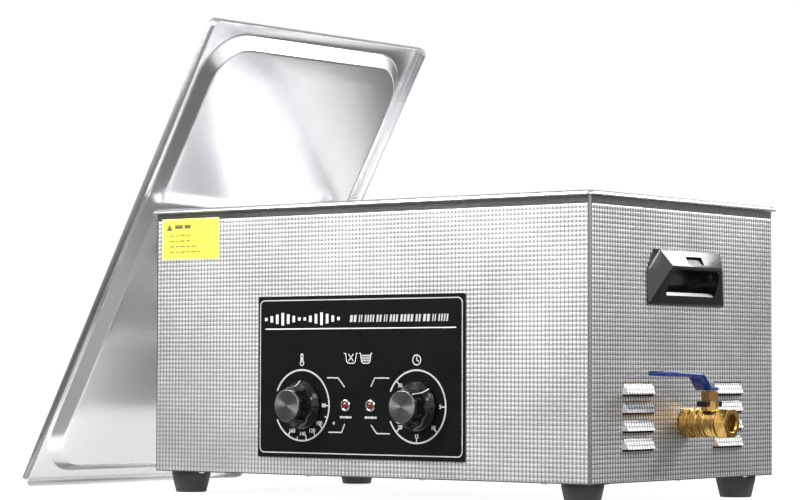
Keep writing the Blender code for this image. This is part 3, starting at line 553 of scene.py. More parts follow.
def wall_outline():
    out, inn = [(-HX, HY)], []
    for cx, start in ((-HX + BEND, 180), (HX - BEND, 270)):
        for k in range(9):
            a = math.radians(start + 90 * k / 8)
            out.append((cx + BEND * math.cos(a), -HY + BEND + BEND * math.sin(a)))
            inn.append((cx + 1.2 * math.cos(a), -HY + BEND + 1.2 * math.sin(a)))
    out.append((HX, HY))
    return out + [(HX - 1.0, HY)] + inn[::-1] + [(-HX + 1.0, HY)]


LOUVRES = [(y, top, bottom) for y in (-80.5, 73.5) for top, bottom in ((109.7, 99.9), (93.3, 83.5), (76.9, 67.1), (60.5, 50.7))]
bm = bmesh.new()
prism(bm, wall_outline(), Z0, Z1)
# The plain wall takes the dark wall steel, painted shade standing in for the shadow under the rim.
wall = piece("housing_wall", bm, WALL_SHADE_M, "unit", stands_for=("housing_wrap",), sharp=30)
bm = bmesh.new()
for side in (1, -1):
    box(bm, (side * HX - 5, -47.0, 185.4), (side * HX + 5, 47.0, 228.6))
    rod(bm, (side * KX, -HY - 6, KZ), (side * KX, -HY + 6, KZ), 5.0, 32)
    rod(bm, (side * 15.0, -HY - 6, 88.0), (side * 15.0, -HY + 6, 88.0), 4.6, 32)
    for y, top, bottom in LOUVRES:
        box(bm, (side * HX - 5, y - 23.2, bottom + 1.2), (side * HX + 5, y + 23.2, top - 2.4))
rod(bm, (HX - 5, 0, VALVE_Z), (HX + 5, 0, VALVE_Z), 9.0, 40)
cut(wall, bm)
finish_edges(wall, 0, sharp=30)

HEIGHT = 0.36
SUB = 3


def skin(name, axis, lo, hi, cells, out, holes):
    """An open sheet of square pillows from lo to hi along X (axis 0) or Y (axis 1), standing on the wall whose face is at `out`."""
    rows = 59
    pitch, rise = (hi - lo) / cells, (268.8 - 22.0) / rows
    # The grooves' painted shade is lighter on the front face than on the sides.
    mat = embossed("embossed_" + name, axis, (pitch, rise), (lo, 22.0), groove_shade=0.36 if axis == 0 else 0.10)
    sign = 1 if out > 0 else -1
    across, up_ = cells * SUB, rows * SUB
    level = [0.0 if k % SUB == 0 else math.sin(math.pi * k / SUB) ** 0.7 for k in range(SUB)]
    verts, faces = [], []
    for j in range(up_ + 1):
        z = 22.0 + rise * j / SUB
        for i in range(across + 1):
            t = lo + pitch * i / SUB
            rim_ = i in (0, across) or j in (0, up_)
            h = 0.0 if rim_ else HEIGHT * level[i % SUB] * level[j % SUB]
            d = out + sign * (0.02 + h)
            verts.append((t * MM, d * MM, z * MM) if axis == 0 else (d * MM, t * MM, z * MM))
    n = across + 1

    def open_at(i, j):
        t, z = lo + pitch * (i // SUB + 0.5), 22.0 + rise * (j // SUB + 0.5)
        return any(a < t < b and c < z < d for a, b, c, d in holes)

    flip = (axis == 0) == (sign > 0)
    for j in range(up_):
        for i in range(across):
            if open_at(i, j):
                continue
            q = (j * n + i, j * n + i + 1, (j + 1) * n + i + 1, (j + 1) * n + i)
            faces.append(q[::-1] if flip else q)
    mesh = bpy.data.meshes.new(name)
    mesh.from_pydata(verts, [], faces)
    bm = bmesh.new()
    bm.from_mesh(mesh)
    bmesh.ops.delete(bm, geom=[v for v in bm.verts if not v.link_faces], context="VERTS")
    edge = [e for e in bm.edges if e.is_boundary]
    made = bmesh.ops.extrude_edge_only(bm, edges=edge)
    for v in (g for g in made["geom"] if isinstance(g, bmesh.types.BMVert)):
        v.co[1 - axis] = (out - sign * 0.15) * MM
    bm.to_mesh(mesh)
    bm.free()
    mesh.materials.append(mat)
    mesh.shade_smooth()
    ob = bpy.data.objects.new(name, mesh)
    bpy.context.scene.collection.objects.link(ob)
    ob.location = W(0, 0, 0)
    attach(ob, "unit")
    return ob


side_holes = [(-45.0, 45.0, 187.5, 226.5)] + [(y - 23.0, y + 23.0, b + 0.5, t - 1.0) for y, t, b in LOUVRES]
skin("embossed_front", 0, -HX + BEND, HX - BEND, 124, -HY, [(-118, 118, 46, 184)])
skin("embossed_right", 1, -HY + BEND, HY - 0.4, 75, HX, side_holes + [(-7.5, 7.5, VALVE_Z - 7.5, VALVE_Z + 7.5)])
skin("embossed_left", 1, -HY + BEND, HY - 0.4, 75, -HX, side_holes)


def hood(tag, side, y, top, bottom):
    """A lanced louvre: a pressed slope with slanted end gussets, open below; the gussets take the dark wall steel as
    painted shade, and a dark strip under the lower edge is a painted shadow line.
    """
    def shell(o, drop):
        return [(0.0, y - 23.4 + o, top - drop), (0.0, y + 23.4 - o, top - drop), (0.0, y + 26.2 - o, bottom), (0.0, y - 26.2 + o, bottom),
                (5.4 - o, y - 22.6 + o, bottom), (5.4 - o, y + 22.6 - o, bottom)]

    bm = bmesh.new()
    outer, inner = ([bm.verts.new((side * p, q, r)) for p, q, r in shell(o, d)] for o, d in ((0.0, 0.0), (0.7, 1.5)))
    for ring, back in ((outer, False), (inner, True)):
        for f in ((0, 1, 5, 4), (0, 4, 3), (1, 2, 5)):
            bm.faces.new([ring[i] for i in (f[::-1] if back else f)])
    for a, b in ((3, 4), (4, 5), (5, 2), (2, 1), (1, 0), (0, 3)):
        bm.faces.new((outer[a], outer[b], inner[b], inner[a]))
    bmesh.ops.recalc_face_normals(bm, faces=bm.faces)
    # Gussets get slot 1, the dark wall steel: painted shade.
    for f in bm.faces:
        f.material_index = 1 if abs(f.normal.y) > 0.6 else 0
    # A dark strip under the hood's lower edge, in slot 2: a painted shadow line.
    before = set(bm.faces)
    box(bm, (min(0.0, side * 0.7), y - 25.6, bottom - 1.9), (max(0.0, side * 0.7), y + 25.6, bottom - 0.3))
    for f in bm.faces:
        if f not in before:
            f.material_index = 2
    ob = piece(tag, bm, HOOD_SHADED_M, "unit", (side * (HX + 0.05), 0, 0), sharp=30, width=0.35, segments=2)
    ob.data.materials.append(WALL_SHADE_M)
    ob.data.materials.append(STOP_PLATE_AND_SHADOW_M)
    return ob


for tag, side in (("right", 1), ("left", -1)):
    for k, (y, top, bottom) in enumerate(LOUVRES):
        hood("louvre_%s_%d" % (tag, k), side, y, top, bottom)

# ------------------------------------------------------------------ housing skin details
def screw_head(name, at, rot, body="unit", r=3.0, h=1.6, mat=None):
    bm = lathe(soften([(0, h), (r * 0.55, h * 0.92), (r * 0.9, h * 0.5), (r, 0.0), (0, 0.0)], 0.3), 28)
    ob = piece(name, bm, mat or NUTM, body, at, rot, sharp=40)
    slot = boxes(((-r * 0.62, -0.35, h * 0.55), (r * 0.62, 0.35, h + 1)), ((-0.35, -r * 0.62, h * 0.55), (0.35, r * 0.62, h + 1)))
    cut(ob, slot, "DIFFERENCE", at, rot)
    finish_edges(ob, 0, sharp=40)
    return ob


for i, x in enumerate((-205.5, -68.5, 68.5, 205.5)):
    screw_head("edge_screw_front_%d" % i, (x, -148.5, 21.0), (math.pi, 0, 0), r=3.2, h=1.6)
for i, y in enumerate((-119.0, 0.0, 119.0)):
    screw_head("edge_screw_right_%d" % i, (252.0, y, 21.0), (math.pi, 0, 0), r=3.2, h=1.6)
    screw_head("edge_screw_left_%d" % i, (-252.0, y, 21.0), (math.pi, 0, 0), r=3.2, h=1.6)
for i, (x, z) in enumerate(((-250, 32), (-250, 268), (0, 268), (250, 268), (250, 32), (0, 32), (-250, 150), (250, 150))):
    screw_head("rear_screw_%d" % i, (x, 156.4, z), BACK, r=3.2, h=1.7)

# ------------------------------------------------------------------ feet
foot_profile = soften([(0, 20.9), (18.4, 20.9), (19.2, 19.8), (19.2, 17.6), (15.0, 0.0), (5.5, 0.0), (5.5, 12.0), (0, 12.0)], 0.8)
for sx, sy, where in ((-1, -1, "front_left"), (1, -1, "front_right"), (-1, 1, "rear_left"), (1, 1, "rear_right")):
    at = (sx * 235.0, sy * 131.0, 0)
    piece("rubber_foot_" + where, lathe(foot_profile, 56), RUBBER, "unit", at, stands_for=("foot_" + where,))
    bm = lathe(soften([(0, 10.6), (3.2, 10.6), (4.2, 11.2), (4.2, 11.9), (0, 11.9)], 0.2), 28)
    piece("foot_screw_" + where, bm, NUTM, "unit", at)

# ------------------------------------------------------------------ control panel print
PY = FACE - 0.12


def flat(name, bm_or_outline, mat, height=0.1, y=FACE, body="unit"):
    bm = bmesh.new()
    for outline in bm_or_outline:
        prism(bm, outline, y - height, y - 0.01, "Y")
    return piece(name, bm, mat, body)


def stroke(points, width, closed=False):
    """Quads along a polyline in (x, z) with mitred corners."""
    pts = [Vector(p) for p in points]
    n = len(pts)
    left, right_ = [], []
    for i, p in enumerate(pts):
        if closed:
            a, b = pts[i - 1], pts[(i + 1) % n]
        else:
            a, b = pts[max(i - 1, 0)], pts[min(i + 1, n - 1)]
        ta = (p - a).normalized() if (p - a).length > 1e-9 else (b - p).normalized()
        tb = (b - p).normalized() if (b - p).length > 1e-9 else ta
        na, nb = Vector((-ta.y, ta.x)), Vector((-tb.y, tb.x))
        m = (na + nb)
        m = m.normalized() if m.length > 1e-6 else na
        k = width / 2 / max(0.5, m.dot(na))
        left.append(p + m * k)
        right_.append(p - m * k)
    quads = []
    for i in range(n if closed else n - 1):
        j = (i + 1) % n
        quads.append([tuple(left[i]), tuple(left[j]), tuple(right_[j]), tuple(right_[i])])
    return quads


def arc(cx, cz, r, start, end, steps=48):
    """Points clockwise from the top, degrees."""
    return [(cx + r * math.sin(math.radians(start + (end - start) * k / steps)), cz + r * math.cos(math.radians(start + (end - start) * k / steps)))
            for k in range(steps + 1)]


border = [(x, z + 115.0) for x, z, _ in rounded(121.4, 72.6, 5.0, 0, steps=8)]
flat("panel_border", stroke(border, 1.0, True), GREY)
flat("panel_rule", stroke([(-115, 160.3), (114.6, 160.3)], 1.1), WHITE)

# Generic bars where the name stood
bars = []
x = -115.0
heights = (3, 6, 9, 12, 9, 6, 3)
for k, h in enumerate(heights * 2):
    xx = -114.0 + 6.9 * k
    bars.append([(xx - 1.6, 169.7 - h / 2), (xx + 1.6, 169.7 - h / 2), (xx + 1.6, 169.7 + h / 2), (xx - 1.6, 169.7 + h / 2)])
flat("panel_wave_mark", bars, WHITE)
blocks = []
x = -10.5
for w in (9.0, 5.4, 12.6, 7.2, 5.4, 10.8, 16.2, 7.2, 9.0, 5.4, 12.6):
    if x + w > 114.0:
        break
    n = max(1, round(w / 3.6))
    for k in range(n):
        a, b = x + k * w / n, x + (k + 1) * w / n - 1.5
        blocks.append([(a, 166.2), (b, 166.2), (b + 0.9, 172.8), (a + 0.9, 172.8)])
    x += w + 1.6
flat("panel_title_blocks", blocks, GREY)
captions = []
for side in (-1, 1):
    x = side * 15.0 - 7.0
    for w in (3.2, 1.8, 4.4, 2.6):
        captions.append([(x, 75.9), (x + w, 75.9), (x + w, 77.9), (x, 77.9)])
        x += w + 0.7
flat("panel_lamp_captions", captions, GREY)

for tag, cx, ticks, majors, digits in (
        ("temperature", -KX, range(90, 211, 20), (90, 130, 170, 210), (("80", 92), ("100", 118), ("120", 142), ("140", 168), ("160", 195))),
        ("time", KX, (90, 135, 180, 225, 315), (90, 135, 180, 225, 315), (("5", 92), ("10", 135), ("15", 180), ("20", 225), ("30", 315)))):
    flat("dial_ring_" + tag, stroke(arc(cx, KZ, 33.6, -66, 246, 120), 1.6), GREY)
    lines = []
    for a in ticks:
        long_ = 4.2 if a in majors else 2.6
        s, c = math.sin(math.radians(a)), math.cos(math.radians(a))
        lines += stroke([(cx + 32.8 * s, KZ + 32.8 * c), (cx + (32.8 - long_) * s, KZ + (32.8 - long_) * c)], 0.9)
    flat("dial_ticks_" + tag, lines, WHITE)

for tag, rows in (("upper_left", [(-37.9, 113.8), (-24.5, 113.8), (-16.5, 105.2)]), ("lower_left", [(-36.2, 62.6), (-20.0, 62.6), (-16.2, 70.6)]),
                  ("upper_right", [(37.0, 113.8), (19.6, 113.8), (15.2, 105.8)]), ("lower_right", [(15.4, 70.0), (22.2, 62.2), (37.8, 62.2)])):
    flat("panel_bracket_" + tag, stroke(rows, 1.15), GREY)


def digits(name, text, x, z, size, mat=None, turn=0.0):
    data = bpy.data.curves.new(name, "FONT")
    data.body = text
    data.size = size * MM
    data.extrude = 0.00005
    data.align_x = "CENTER"
    data.align_y = "CENTER"
    data.offset = 0.00006
    data.materials.append(mat or WHITE)
    ob = bpy.data.objects.new(name, data)
    bpy.context.scene.collection.objects.link(ob)
    ob.location = W(x, FACE - 0.07, z)
    ob.rotation_euler = (math.pi / 2, math.radians(turn), 0)
    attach(ob, "unit")
    return ob


for text, a in (("80", 90), ("100", 128), ("120", 152), ("140", 178), ("160", 206)):
    digits("temp_%s" % text, text, -KX + 27.2 * math.sin(math.radians(a)), KZ + 27.2 * math.cos(math.radians(a)), 5.2)
for text, a in (("5", 90), ("10", 135), ("15", 180), ("20", 225), ("30", 315)):
    digits("time_%s" % text, text, KX + 27.4 * math.sin(math.radians(a)), KZ + 27.4 * math.cos(math.radians(a)), 5.2)
digits("temp_unit", "°", -29.5, 68.5, 9.0)

# Pictures in place of words: a thermometer, a clock, and tubs to fill or not
thermo = stroke(arc(-69, 127.6, 2.2, 35, 325, 20), 0.8) + stroke([(-70.2, 129.4), (-70.2, 135.6), (-69, 136.6), (-67.8, 135.6), (-67.8, 129.4)], 0.8)
thermo += stroke([(-69, 128), (-69, 133)], 0.9)
flat("mark_thermometer", thermo, WHITE)
clock = stroke(arc(69, 130.6, 4.6, 0, 360, 32)[:-1], 0.9, True) + stroke([(69, 133.8), (69, 130.6), (71.6, 129.2)], 0.8)
flat("mark_clock", clock, WHITE)
tub = stroke([(-17.2, 136.8), (-15.4, 136.8), (-14.2, 129.2), (-12.2, 127.6), (-5.6, 127.6), (-3.6, 129.2), (-2.4, 136.8), (-0.8, 136.8)], 0.8)
tub += stroke([(-12.0, 136.2), (-6.0, 129.6)], 0.8) + stroke([(-6.0, 136.2), (-12.0, 129.6)], 0.8)
tub += stroke([(0.9, 136.8), (2.6, 136.8), (3.8, 129.2), (5.8, 127.6), (12.0, 127.6), (14.0, 129.2), (15.2, 136.8), (16.6, 136.8)], 0.8)
for k in range(4):
    tub += stroke([(3.6 + 0.3 * k, 135.0 - 1.7 * k), (14.2 - 0.3 * k, 135.0 - 1.7 * k)], 0.7)
flat("mark_tubs", tub, WHITE)

# ------------------------------------------------------------------ knobs, caps and lamps
def knob(name, cap, node, x, pointer, body):
    at = (x, FACE - 0.6, KZ)

    def lobed(r, depth, z, lobes=10, per=16):
        ring = []
        for i in range(lobes * per):
            a = 2 * math.pi * i / (lobes * per)
            dip = depth * (0.5 + 0.5 * math.cos(lobes * a)) ** 0.8
            ring.append(((r - dip) * math.cos(a), (r - dip) * math.sin(a), z))
        return ring

    bm = bmesh.new()
    loft(bm, [lobed(22.4, 0, 0.0), lobed(23.0, 0, 0.35), lobed(23.2, 0, 1.0), lobed(23.2, 0, 2.0), lobed(22.8, 0, 2.8), lobed(21.6, 0.05, 4.0),
              lobed(20.0, 0.2, 5.8), lobed(18.8, 0.4, 8.0), lobed(18.0, 0.7, 10.6), lobed(17.5, 0.95, 14.0), lobed(17.0, 1.05, 18.6), lobed(16.8, 0.95, 19.8),
              lobed(16.5, 0.6, 20.7), lobed(16.1, 0.2, 21.15), lobed(15.7, 0, 21.3), lobed(15.35, 0, 21.1), lobed(15.3, 0, 20.4)])
    made = piece(name, bm, GLOSS, body, at, FRONT, (node,), sharp=55)
    turn = math.radians(pointer)
    bm = bmesh.new()
    line = [(16.0, 20.9), (16.9, 19.6), (17.3, 14.0), (17.9, 10.6), (18.8, 8.0), (20.1, 5.9), (21.7, 4.1), (22.9, 2.9), (23.3, 2.0)]
    for (r1, z1), (r2, z2) in zip(line, line[1:]):
        a, b = Vector((0, r1 + 0.05, z1 + 0.05)), Vector((0, r2 + 0.05, z2 + 0.05))
        rows = []
        for p in (a, b):
            rows.append([(p.x - 0.45, p.y - 0.35, p.z - 0.3), (p.x + 0.45, p.y - 0.35, p.z - 0.3), (p.x + 0.45, p.y + 0.12, p.z + 0.08), (p.x - 0.45, p.y + 0.12, p.z + 0.08)])
        loft(bm, rows)
    bmesh.ops.rotate(bm, cent=(0, 0, 0), matrix=Matrix.Rotation(-turn, 3, "Z"), verts=bm.verts)
    piece(name + "_line", bm, WHITE, body, at, FRONT)
    bm = lathe(soften([(0, 21.95), (6, 21.95), (13.6, 22.05), (14.6, 22.0), (15.0, 21.5), (15.0, 20.7), (0, 20.7)], 0.2), 96)
    piece(name + "_face", bm, SPUN, body, at, FRONT, (cap,), sharp=40)


knob("thermostat_dial_knob", "thermostat_knob_cap", "thermostat_knob", -KX, 0, "thermostat_knob_set")
knob("timer_dial_knob", "timer_knob_cap", "timer_knob", KX, 45, "timer_knob_set")
for tag, side in (("heating", -1), ("timer", 1)):
    at = (side * 15.0, FACE, 88.0)
    ring = soften([(4.4, 2.3), (5.2, 2.0), (5.8, 1.0), (5.8, 0.3), (4.3, 0.3), (4.3, -9.0), (3.6, -9.0), (3.6, 2.0)], 0.3, closed=True)
    piece(tag + "_bezel_ring", lathe(ring, 64, True), CHROME, "unit", at, FRONT, (tag + "_lamp_bezel",))
    dome = [(0, 3.4), (0.8, 3.35), (1.6, 3.12), (2.3, 2.75), (2.8, 2.3), (3.15, 1.7), (3.3, 1.0), (3.3, -8.0), (0, -8.0)]
    piece(tag + "_lens_dome", lathe(dome, 48), LAMPM, "unit", at, FRONT, (tag + "_lamp_lens",), sharp=60)

# ------------------------------------------------------------------ yellow label: border and bars only
LX0, LX1, LZ0, LZ1 = -252.0, -176.3, 230.0, 270.5
flat("label_field", [[(LX0 + 1.6, LZ0 + 1.6), (LX1 - 1.6, LZ0 + 1.6), (LX1 - 1.6, LZ1 - 1.6), (LX0 + 1.6, LZ1 - 1.6)]], YELLOW, 0.06, -157.2)
for held in NODES["front_label"].material_slots:
    held.material = PALE
marks = [[(-246.5, 258.6), (-237.9, 258.6), (-242.2, 266.2)]]
for a, b in ((-235.0, -224.2), (-222.4, -213.6)):
    marks.append([(a, 260.4), (b, 260.4), (b, 264.4), (a, 264.4)])
flat("label_heading", marks, INK, 0.10, -157.2)
marks = []
for k, b in enumerate((-214.0, -209.0, -206.0, -200.0)):
    z = 253.6 - 5.4 * k
    marks.append([(-246.1, z - 0.6), (-244.5, z - 0.6), (-244.5, z + 1.0), (-246.1, z + 1.0)])
    a = -241.5
    for w in (6.4, 4.4, 8.0, 5.4, 7.2, 4.6, 6.0):
        if a + w > b + 1:
            break
        marks.append([(a, z - 0.75), (a + w, z - 0.75), (a + w, z + 1.05), (a, z + 1.05)])
        a += w + 1.0
flat("label_lines", marks, FADED, 0.10, -157.2)


# ------------------------------------------------------------------ side handles
def side_handle(tag, side):
    at = (side * HX, 0, 0)
    bm = bmesh.new()
    for p, y, z in ((0.3, 66, 181), (0.3, 66, 213), (0.3, 55, 232.5), (1.8, 65, 181.5), (1.8, 65, 213), (6.0, 51.5, 231.5),
                    (13.7, 42.8, 216), (13.0, 43.5, 213), (5.5, 44.5, 190), (3.5, 57, 183)):
        for s in (1, -1):
            bm.verts.new((side * p, s * y, z))
    bmesh.ops.convex_hull(bm, input=bm.verts)
    bmesh.ops.delete(bm, geom=[v for v in bm.verts if not v.link_faces], context="VERTS")
    bmesh.ops.dissolve_limit(bm, angle_limit=0.002, verts=bm.verts, edges=bm.edges)
    bmesh.ops.bevel(bm, geom=list(bm.edges), offset=1.1, segments=3, profile=0.5, affect="EDGES")
    ob = piece("grip_" + tag, bm, GRIPM, "unit", at, (0, 0, 0), ("side_handle_" + tag,))
    lo, hi = ((-9.6, -46.4, 186.0), (1.0, 46.4, 228.0)) if side > 0 else ((-1.0, -46.4, 186.0), (9.6, 46.4, 228.0))
    cut(ob, boxes((lo, hi)), "UNION", at)
    bm = bmesh.new()
    scoop = [(20, 188.4), (6.8, 188.6), (5.9, 189.4), (4.1, 192.9), (3.0, 193.4), (-1.0, 193.4), (-4.4, 194.8), (-6.9, 197.4), (-8.2, 200.5), (-8.4, 204.0), (-8.4, 226.0), (3.4, 226.0), (9.2, 213.4), (20, 213.4)]
    prism(bm, [(side * p, z) for p, z in scoop], -42.3, 42.3, "Y")
    for s_ in (1, -1):
        for r, cz, turns in ((11.0, 213.4 - 11.0, range(10, 90, 13)), (5.0, 188.6 + 5.0, range(-80, 0, 16))):
            for a in turns:
                n = Vector((0, s_ * math.cos(math.radians(a)), math.sin(math.radians(a))))
                centre = Vector((0, s_ * (42.3 - r), cz))
                made = bmesh.ops.bisect_plane(bm, geom=list(bm.verts) + list(bm.edges) + list(bm.faces), plane_co=centre + n * r, plane_no=n, clear_outer=True)
                bmesh.ops.holes_fill(bm, edges=[g for g in made["geom_cut"] if isinstance(g, bmesh.types.BMEdge)], sides=0)
    cut(ob, bm, "DIFFERENCE", at)
    bm = bmesh.new()
    prism(bm, [(side * p, z) for p, z in ((11.4, 218.7), (5.8, 226.0), (16.0, 226.0), (16.0, 218.7))], -13.5, 13.5, "Y")
    cut(ob, bm, "DIFFERENCE", at)
    finish_edges(ob, 0.5, 2, sharp=35)
    return ob


side_handle("right", 1)
side_handle("left", -1)

# ------------------------------------------------------------------ drain valve
AT = (HX, 0, VALVE_Z)
barrel = [(11.6, 38.0), (13.4, 37.4), (13.4, 34.0), (12.4, 33.2), (12.9, 29.0), (12.9, 26.5), (13.7, 25.6), (13.7, 21.4), (12.9, 20.6),
          (12.9, 18.4), (13.7, 17.6), (13.7, 13.4), (11.6, 12.0), (11.6, 9.4), (13.9, 8.6), (13.9, 1.6), (12.6, 0.3), (6.8, 0.3), (6.8, 12.6),
          (9.9, 12.6), (9.9, 38.0)]
body = piece("valve_barrel", lathe(soften(barrel, 0.5, 3, True), 72, True), BRASS, "unit", AT, RIGHT, ("valve_body",), sharp=40)
bm = bmesh.new()
rod(bm, (STEM_X, 0, VALVE_Z + 11.2), (STEM_X, 0, VALVE_Z + 20.0), 8.0, 48)
box(bm, (STEM_X - 5, -12.5, VALVE_Z + 16.5), (STEM_X + 5, 12.5, VALVE_Z + 19.8))
cut(body, bm, "UNION")
bm = bmesh.new()
rod(bm, (STEM_X, 0, VALVE_Z + 7.0), (STEM_X, 0, VALVE_Z + 22.0), 4.7, 40)
cut(body, bm)
finish_edges(body, 0, sharp=38)


def nut(name, flats, low, high, bore, mat, at, rot=(0, 0, 0), stands_for=(), sides=6, phase=0.0, body="unit", spigot=None, chamfer=0.9):
    def ring(r, z):
        r /= math.cos(math.pi / sides)
        return [(r * math.cos(phase + 2 * math.pi * k / sides), r * math.sin(phase + 2 * math.pi * k / sides), z) for k in range(sides)]

    bm = bmesh.new()
    loft(bm, [ring(flats / 2, low), ring(flats / 2, high)])
    ob = piece(name, bm, mat, body, at, rot, stands_for)
    tool = lathe([(0, high), (flats / 2 - chamfer * 0.2, high), (flats / 2 * 1.17, high - chamfer), (flats / 2 * 1.17, low + chamfer), (flats / 2 - chamfer * 0.2, low), (0, low)], 64)
    cut(ob, tool, "INTERSECT", at, rot)
    if spigot:
        tool = bmesh.new()
        rod(tool, (0, 0, spigot[1]), (0, 0, low + 2), spigot[0], 48)
        cut(ob, tool, "UNION", at, rot)
    tool = lathe(soften([(0, high + 1), (bore + 2.0, high + 1), (bore, high - 1.0), (bore, (spigot[1] if spigot else low) - 2), (0, (spigot[1] if spigot else low) - 2)], 0.2), 48)
    cut(ob, tool, "DIFFERENCE", at, rot)
    finish_edges(ob, 0.35, 2, 30)
    return ob


nut("valve_hex_end", 25.4, 38.3, 49.7, 7.6, BRASS, AT, RIGHT, ("valve_outlet",), 6, math.pi / 6, spigot=(9.6, 36.2))
nut("valve_gland", 14.6, 20.3, 29.2, 4.5, BRASSD, (STEM_X, 0, VALVE_Z), stands_for=("valve_packing_nut",))
nut("valve_top_nut", 10.0, 32.95, 36.8, 3.4, NUTD, (STEM_X, 0, VALVE_Z), stands_for=("valve_lever_nut",), body="valve_lever_set", chamfer=0.5)
nut("drain_locknut", 24.0, -7.0, -1.6, 8.6, BRASS, AT, RIGHT, ("drain_nut",))

LEVER = [(5.6, 29.8, 4.4), (4.8, 29.8, 6.6), (2.2, 29.8, 8.6), (-9.0, 29.8, 9.0), (-10.8, 30.3, 9.0), (-20.4, 40.2, 9.0), (-22.0, 41.4, 9.0), (-24.5, 42.2, 8.6), (-30.0, 42.3, 7.6), (-40.0, 42.2, 6.4),
         (-60.0, 42.4, 5.8), (-74.0, 42.8, 5.8), (-79.0, 43.0, 7.0), (-84.0, 43.2, 8.4), (-89.0, 43.2, 8.3), (-92.6, 43.2, 6.8), (-94.8, 43.2, 4.6), (-95.6, 43.2, 2.4)]
bm = bmesh.new()
rows = []
for y, z, w in LEVER:
    t = 3.1 + 1.3 * min(1.0, max(0.0, (-y - 24.0) / 30.0))
    c = min(1.0, w * 0.3)
    rows.append([(-w + c, y, z), (w - c, y, z), (w, y, z + c), (w, y, z + t - c), (w - c, y, z + t), (-w + c, y, z + t), (-w, y, z + t - c), (-w, y, z + c)])
loft(bm, rows)
lever = piece("lever_strap", bm, BLUE, "valve_lever_set", (STEM_X, 0, VALVE_Z), stands_for=("valve_lever",), sharp=50)

# The stop plate's two dark ears beside the neck
for s_, tag in ((1, "rear"), (-1, "front")):
    bm = boxes(((-5.6, 7.8 if s_ > 0 else -13.6, 14.8), (5.6, 13.6 if s_ > 0 else -7.8, 20.2)))
    piece("valve_stop_" + tag, bm, STOP_PLATE_AND_SHADOW_M, "unit", (STEM_X, 0, VALVE_Z), width=0.9)

# ------------------------------------------------------------------ lid handle
top = 9.4
MIDX, MIDY = LID_B / 2, LID_L / 2
rows = []
for k in range(41):
    t = -1 + 2 * k / 40
    y = 62 * t
    lift = 1 / (1 + math.exp((abs(y) - 46) / 2.6))
    z = top - 2.6 - 23.6 * lift - 1.0 * (1 - t * t) * lift
    w = 8.6 + 0.8 * math.cos(math.pi * t)
    th = 3.7 - 1.2 * (1 - lift)
    rows.append([(MIDX + w * math.cos(2 * math.pi * j / 24), MIDY + y, z + th * math.sin(2 * math.pi * j / 24)) for j in range(24)])
bm = bmesh.new()
loft(bm, rows)
for s in (1, -1):
    rod(bm, (MIDX, MIDY + s * 52, top - 6.0), (MIDX, MIDY + s * 52, top), 9.0, 48)
piece("lid_grip", bm, BLACK, "lid", LID_AT, LID_ROT, ("lid_handle",), sharp=50)

# ------------------------------------------------------------------ studio
def area(name, at, look, size, power, colour=(1, 1, 1), size_y=None):
    data = bpy.data.lights.new(name, "AREA")
    data.shape = "RECTANGLE"
    data.size = size
    data.size_y = size_y or size
    data.energy = power
    data.color = colour
    ob = bpy.data.objects.new(name, data)
    bpy.context.scene.collection.objects.link(ob)
    ob.location = at
    ob.rotation_euler = (Vector(at) - Vector(look)).to_track_quat("Z", "Y").to_euler()
    return ob


bm = bmesh.new()
bmesh.ops.create_grid(bm, x_segments=2, y_segments=2, size=9.0)
mesh = bpy.data.meshes.new("studio_floor")
bm.to_mesh(mesh)
bm.free()
floor_net = Net("floor_pale", (0.28, 0.28, 0.28), 0.0, 0.75)
floor_net.colour(floor_net.tint(floor_net.noise(0.7, 2.0), [(0.3, (0.27, 0.27, 0.27)), (0.7, (0.29, 0.29, 0.29))]))
floor_net.set("Emission Color", (1, 1, 1, 1))
floor_net.set("Emission Strength", 0.82)
mesh.materials.append(floor_net.mat)
floor = bpy.data.objects.new("studio_floor", mesh)
floor.location = (0, 0, -0.0002)
bpy.context.scene.collection.objects.link(floor)

world = bpy.data.worlds.new("studio")
bpy.context.scene.world = world
world.use_nodes = True
tree = world.node_tree
sky = tree.nodes["Background"]
sky.inputs[1].default_value = 1.0
where = tree.nodes.new("ShaderNodeTexCoord")
split = tree.nodes.new("ShaderNodeSeparateXYZ")
ramp = tree.nodes.new("ShaderNodeValToRGB")
tree.links.new(where.outputs["Generated"], split.inputs[0])
tree.links.new(split.outputs[2], ramp.inputs[0])
tree.links.new(ramp.outputs[0], sky.inputs[0])
for e in range(2):
    ramp.color_ramp.elements.new(0.5)
for e, (at, v) in zip(ramp.color_ramp.elements, ((0.0, 1.02), (0.28, 1.02), (0.55, 0.42), (1.0, 0.30))):
    e.position = at
    e.color = (v, v, v, 1)
bpy.context.scene.view_settings.view_transform = "Standard"

CENTRE = (0.07, 0.0, 0.14)
area("key", (1.19, 1.0, 1.15), (0.33, 0.0, 0.14), 0.3, 13.0)
area("front_left", (-1.02, -1.4, 1.1), (0.1, 0.0, 0.17), 0.6, 16)
area("overhead_front", (-0.20, -0.62, 0.80), (-0.06, -0.15, 0.24), 0.3, 9.3)
area("near", (0.95, -0.95, 1.0), (0.30, -0.1, 0.2), 0.5, 3)
area("right", (1.3, -0.3, 1.0), (0.15, 0.0, 0.15), 0.5, 6)
area("top", (0.1, 0.1, 2.6), CENTRE, 2.4, 4)
area("strip", (0.80, 1.11, 0.86), (0.34, 0.0, 0.18), 0.6, 6.6, size_y=0.35)


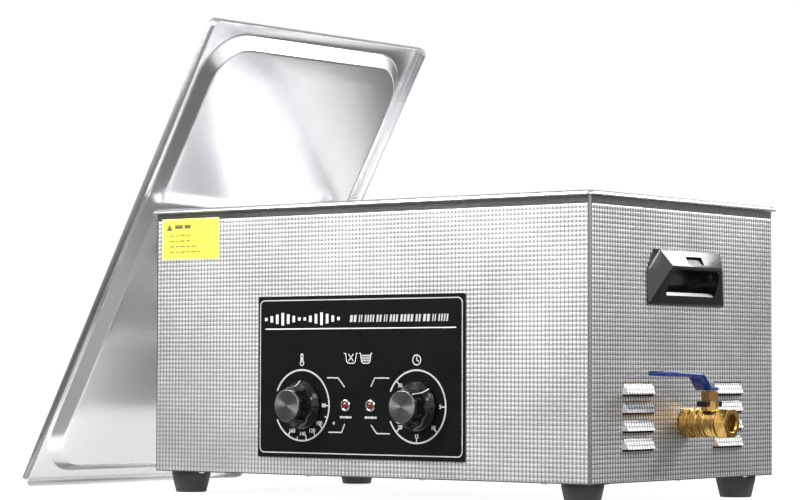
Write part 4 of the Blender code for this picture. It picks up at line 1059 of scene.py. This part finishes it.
def flag(name, lo, hi, value):
    """A card out of the picture that the steel reflects; the camera itself doesn't see it."""
    bm = bmesh.new()
    corners = [bm.verts.new(W(*p)) for p in (lo, (hi[0], hi[1], lo[2]), hi, (lo[0], lo[1], hi[2]))]
    bm.faces.new(corners)
    mesh = bpy.data.meshes.new(name)
    bm.to_mesh(mesh)
    bm.free()
    mesh.materials.append(Net(name, (value,) * 3, 0.0, 0.9).mat)
    ob = bpy.data.objects.new(name, mesh)
    bpy.context.scene.collection.objects.link(ob)
    ob.visible_camera = False
    ob.visible_diffuse = False
    ob.visible_shadow = False
    return ob


flag("flag_front", (-2400, -1300, 0), (300, -1300, 800), 0.16)
flag("flag_front_low", (-1500, -1000, 0), (-620, -1000, 210), 0.02)
flag("flag_side", (300, 1150, 0), (2300, 1150, 800), 0.16)
flag("flag_left", (-950, -500, 0), (-950, 900, 600), 0.12)


def ground(name, lo, hi, value):
    ob = flag(name, (lo[0], lo[1], 4), (hi[0], lo[1], 4 + hi[1] - lo[1]), value)
    ob.data.transform(Matrix.Translation(W(0, lo[1], 4)) @ Matrix.Rotation(-math.pi / 2, 4, "X") @ Matrix.Translation(-W(0, lo[1], 4)))
    return ob


ground("ground_back", (-300, 730), (900, 1500), 0.03)
ground("ground_front", (-1500, -1900), (1900, -360), 0.06)
ground("ground_near", (-80, -279), (1900, -168), 0.06)
ground("ground_strip", (-80, -359), (420, -280), 0.25)
# ground_lid darkens the floor between the lid and the housing, seen only in reflections: a painted shadow.
ground("ground_lid", (-560, -359), (-81, -168), 0.2)
ground("ground_right", (272, -168), (1700, 1500), 0.04)
# ground_left darkens the floor beside the housing's left wall under the lid, seen only in reflections: a painted
# shadow.
ground("ground_left", (-350, -150), (-262, 156), 0.6)

# ------------------------------------------------------------------ camera, from the picture's own perspective
f_px, yaw, pitch, roll = 2699.0, math.radians(-38.06), math.radians(2.574), math.radians(0.141)
fwd = Vector((math.sin(yaw) * math.cos(pitch), math.cos(yaw) * math.cos(pitch), math.sin(pitch)))
right = Vector((math.cos(yaw), -math.sin(yaw), 0))
up = right.cross(fwd)
r_ = right * math.cos(roll) + up * math.sin(roll)
u_ = up * math.cos(roll) - right * math.sin(roll)
cam_data = bpy.data.cameras.new("camera")
cam_data.sensor_width = 36.0
cam_data.lens = f_px / 800 * 36.0
cam_data.clip_start = 0.05
cam_data.clip_end = 60
cam = bpy.data.objects.new("camera", cam_data)
bpy.context.scene.collection.objects.link(cam)
turn = Matrix((r_, u_, -fwd)).transposed().to_4x4()
cam.matrix_world = Matrix.Translation(W(1589.9, -2125.6, 120.1)) @ turn
bpy.context.scene.camera = cam
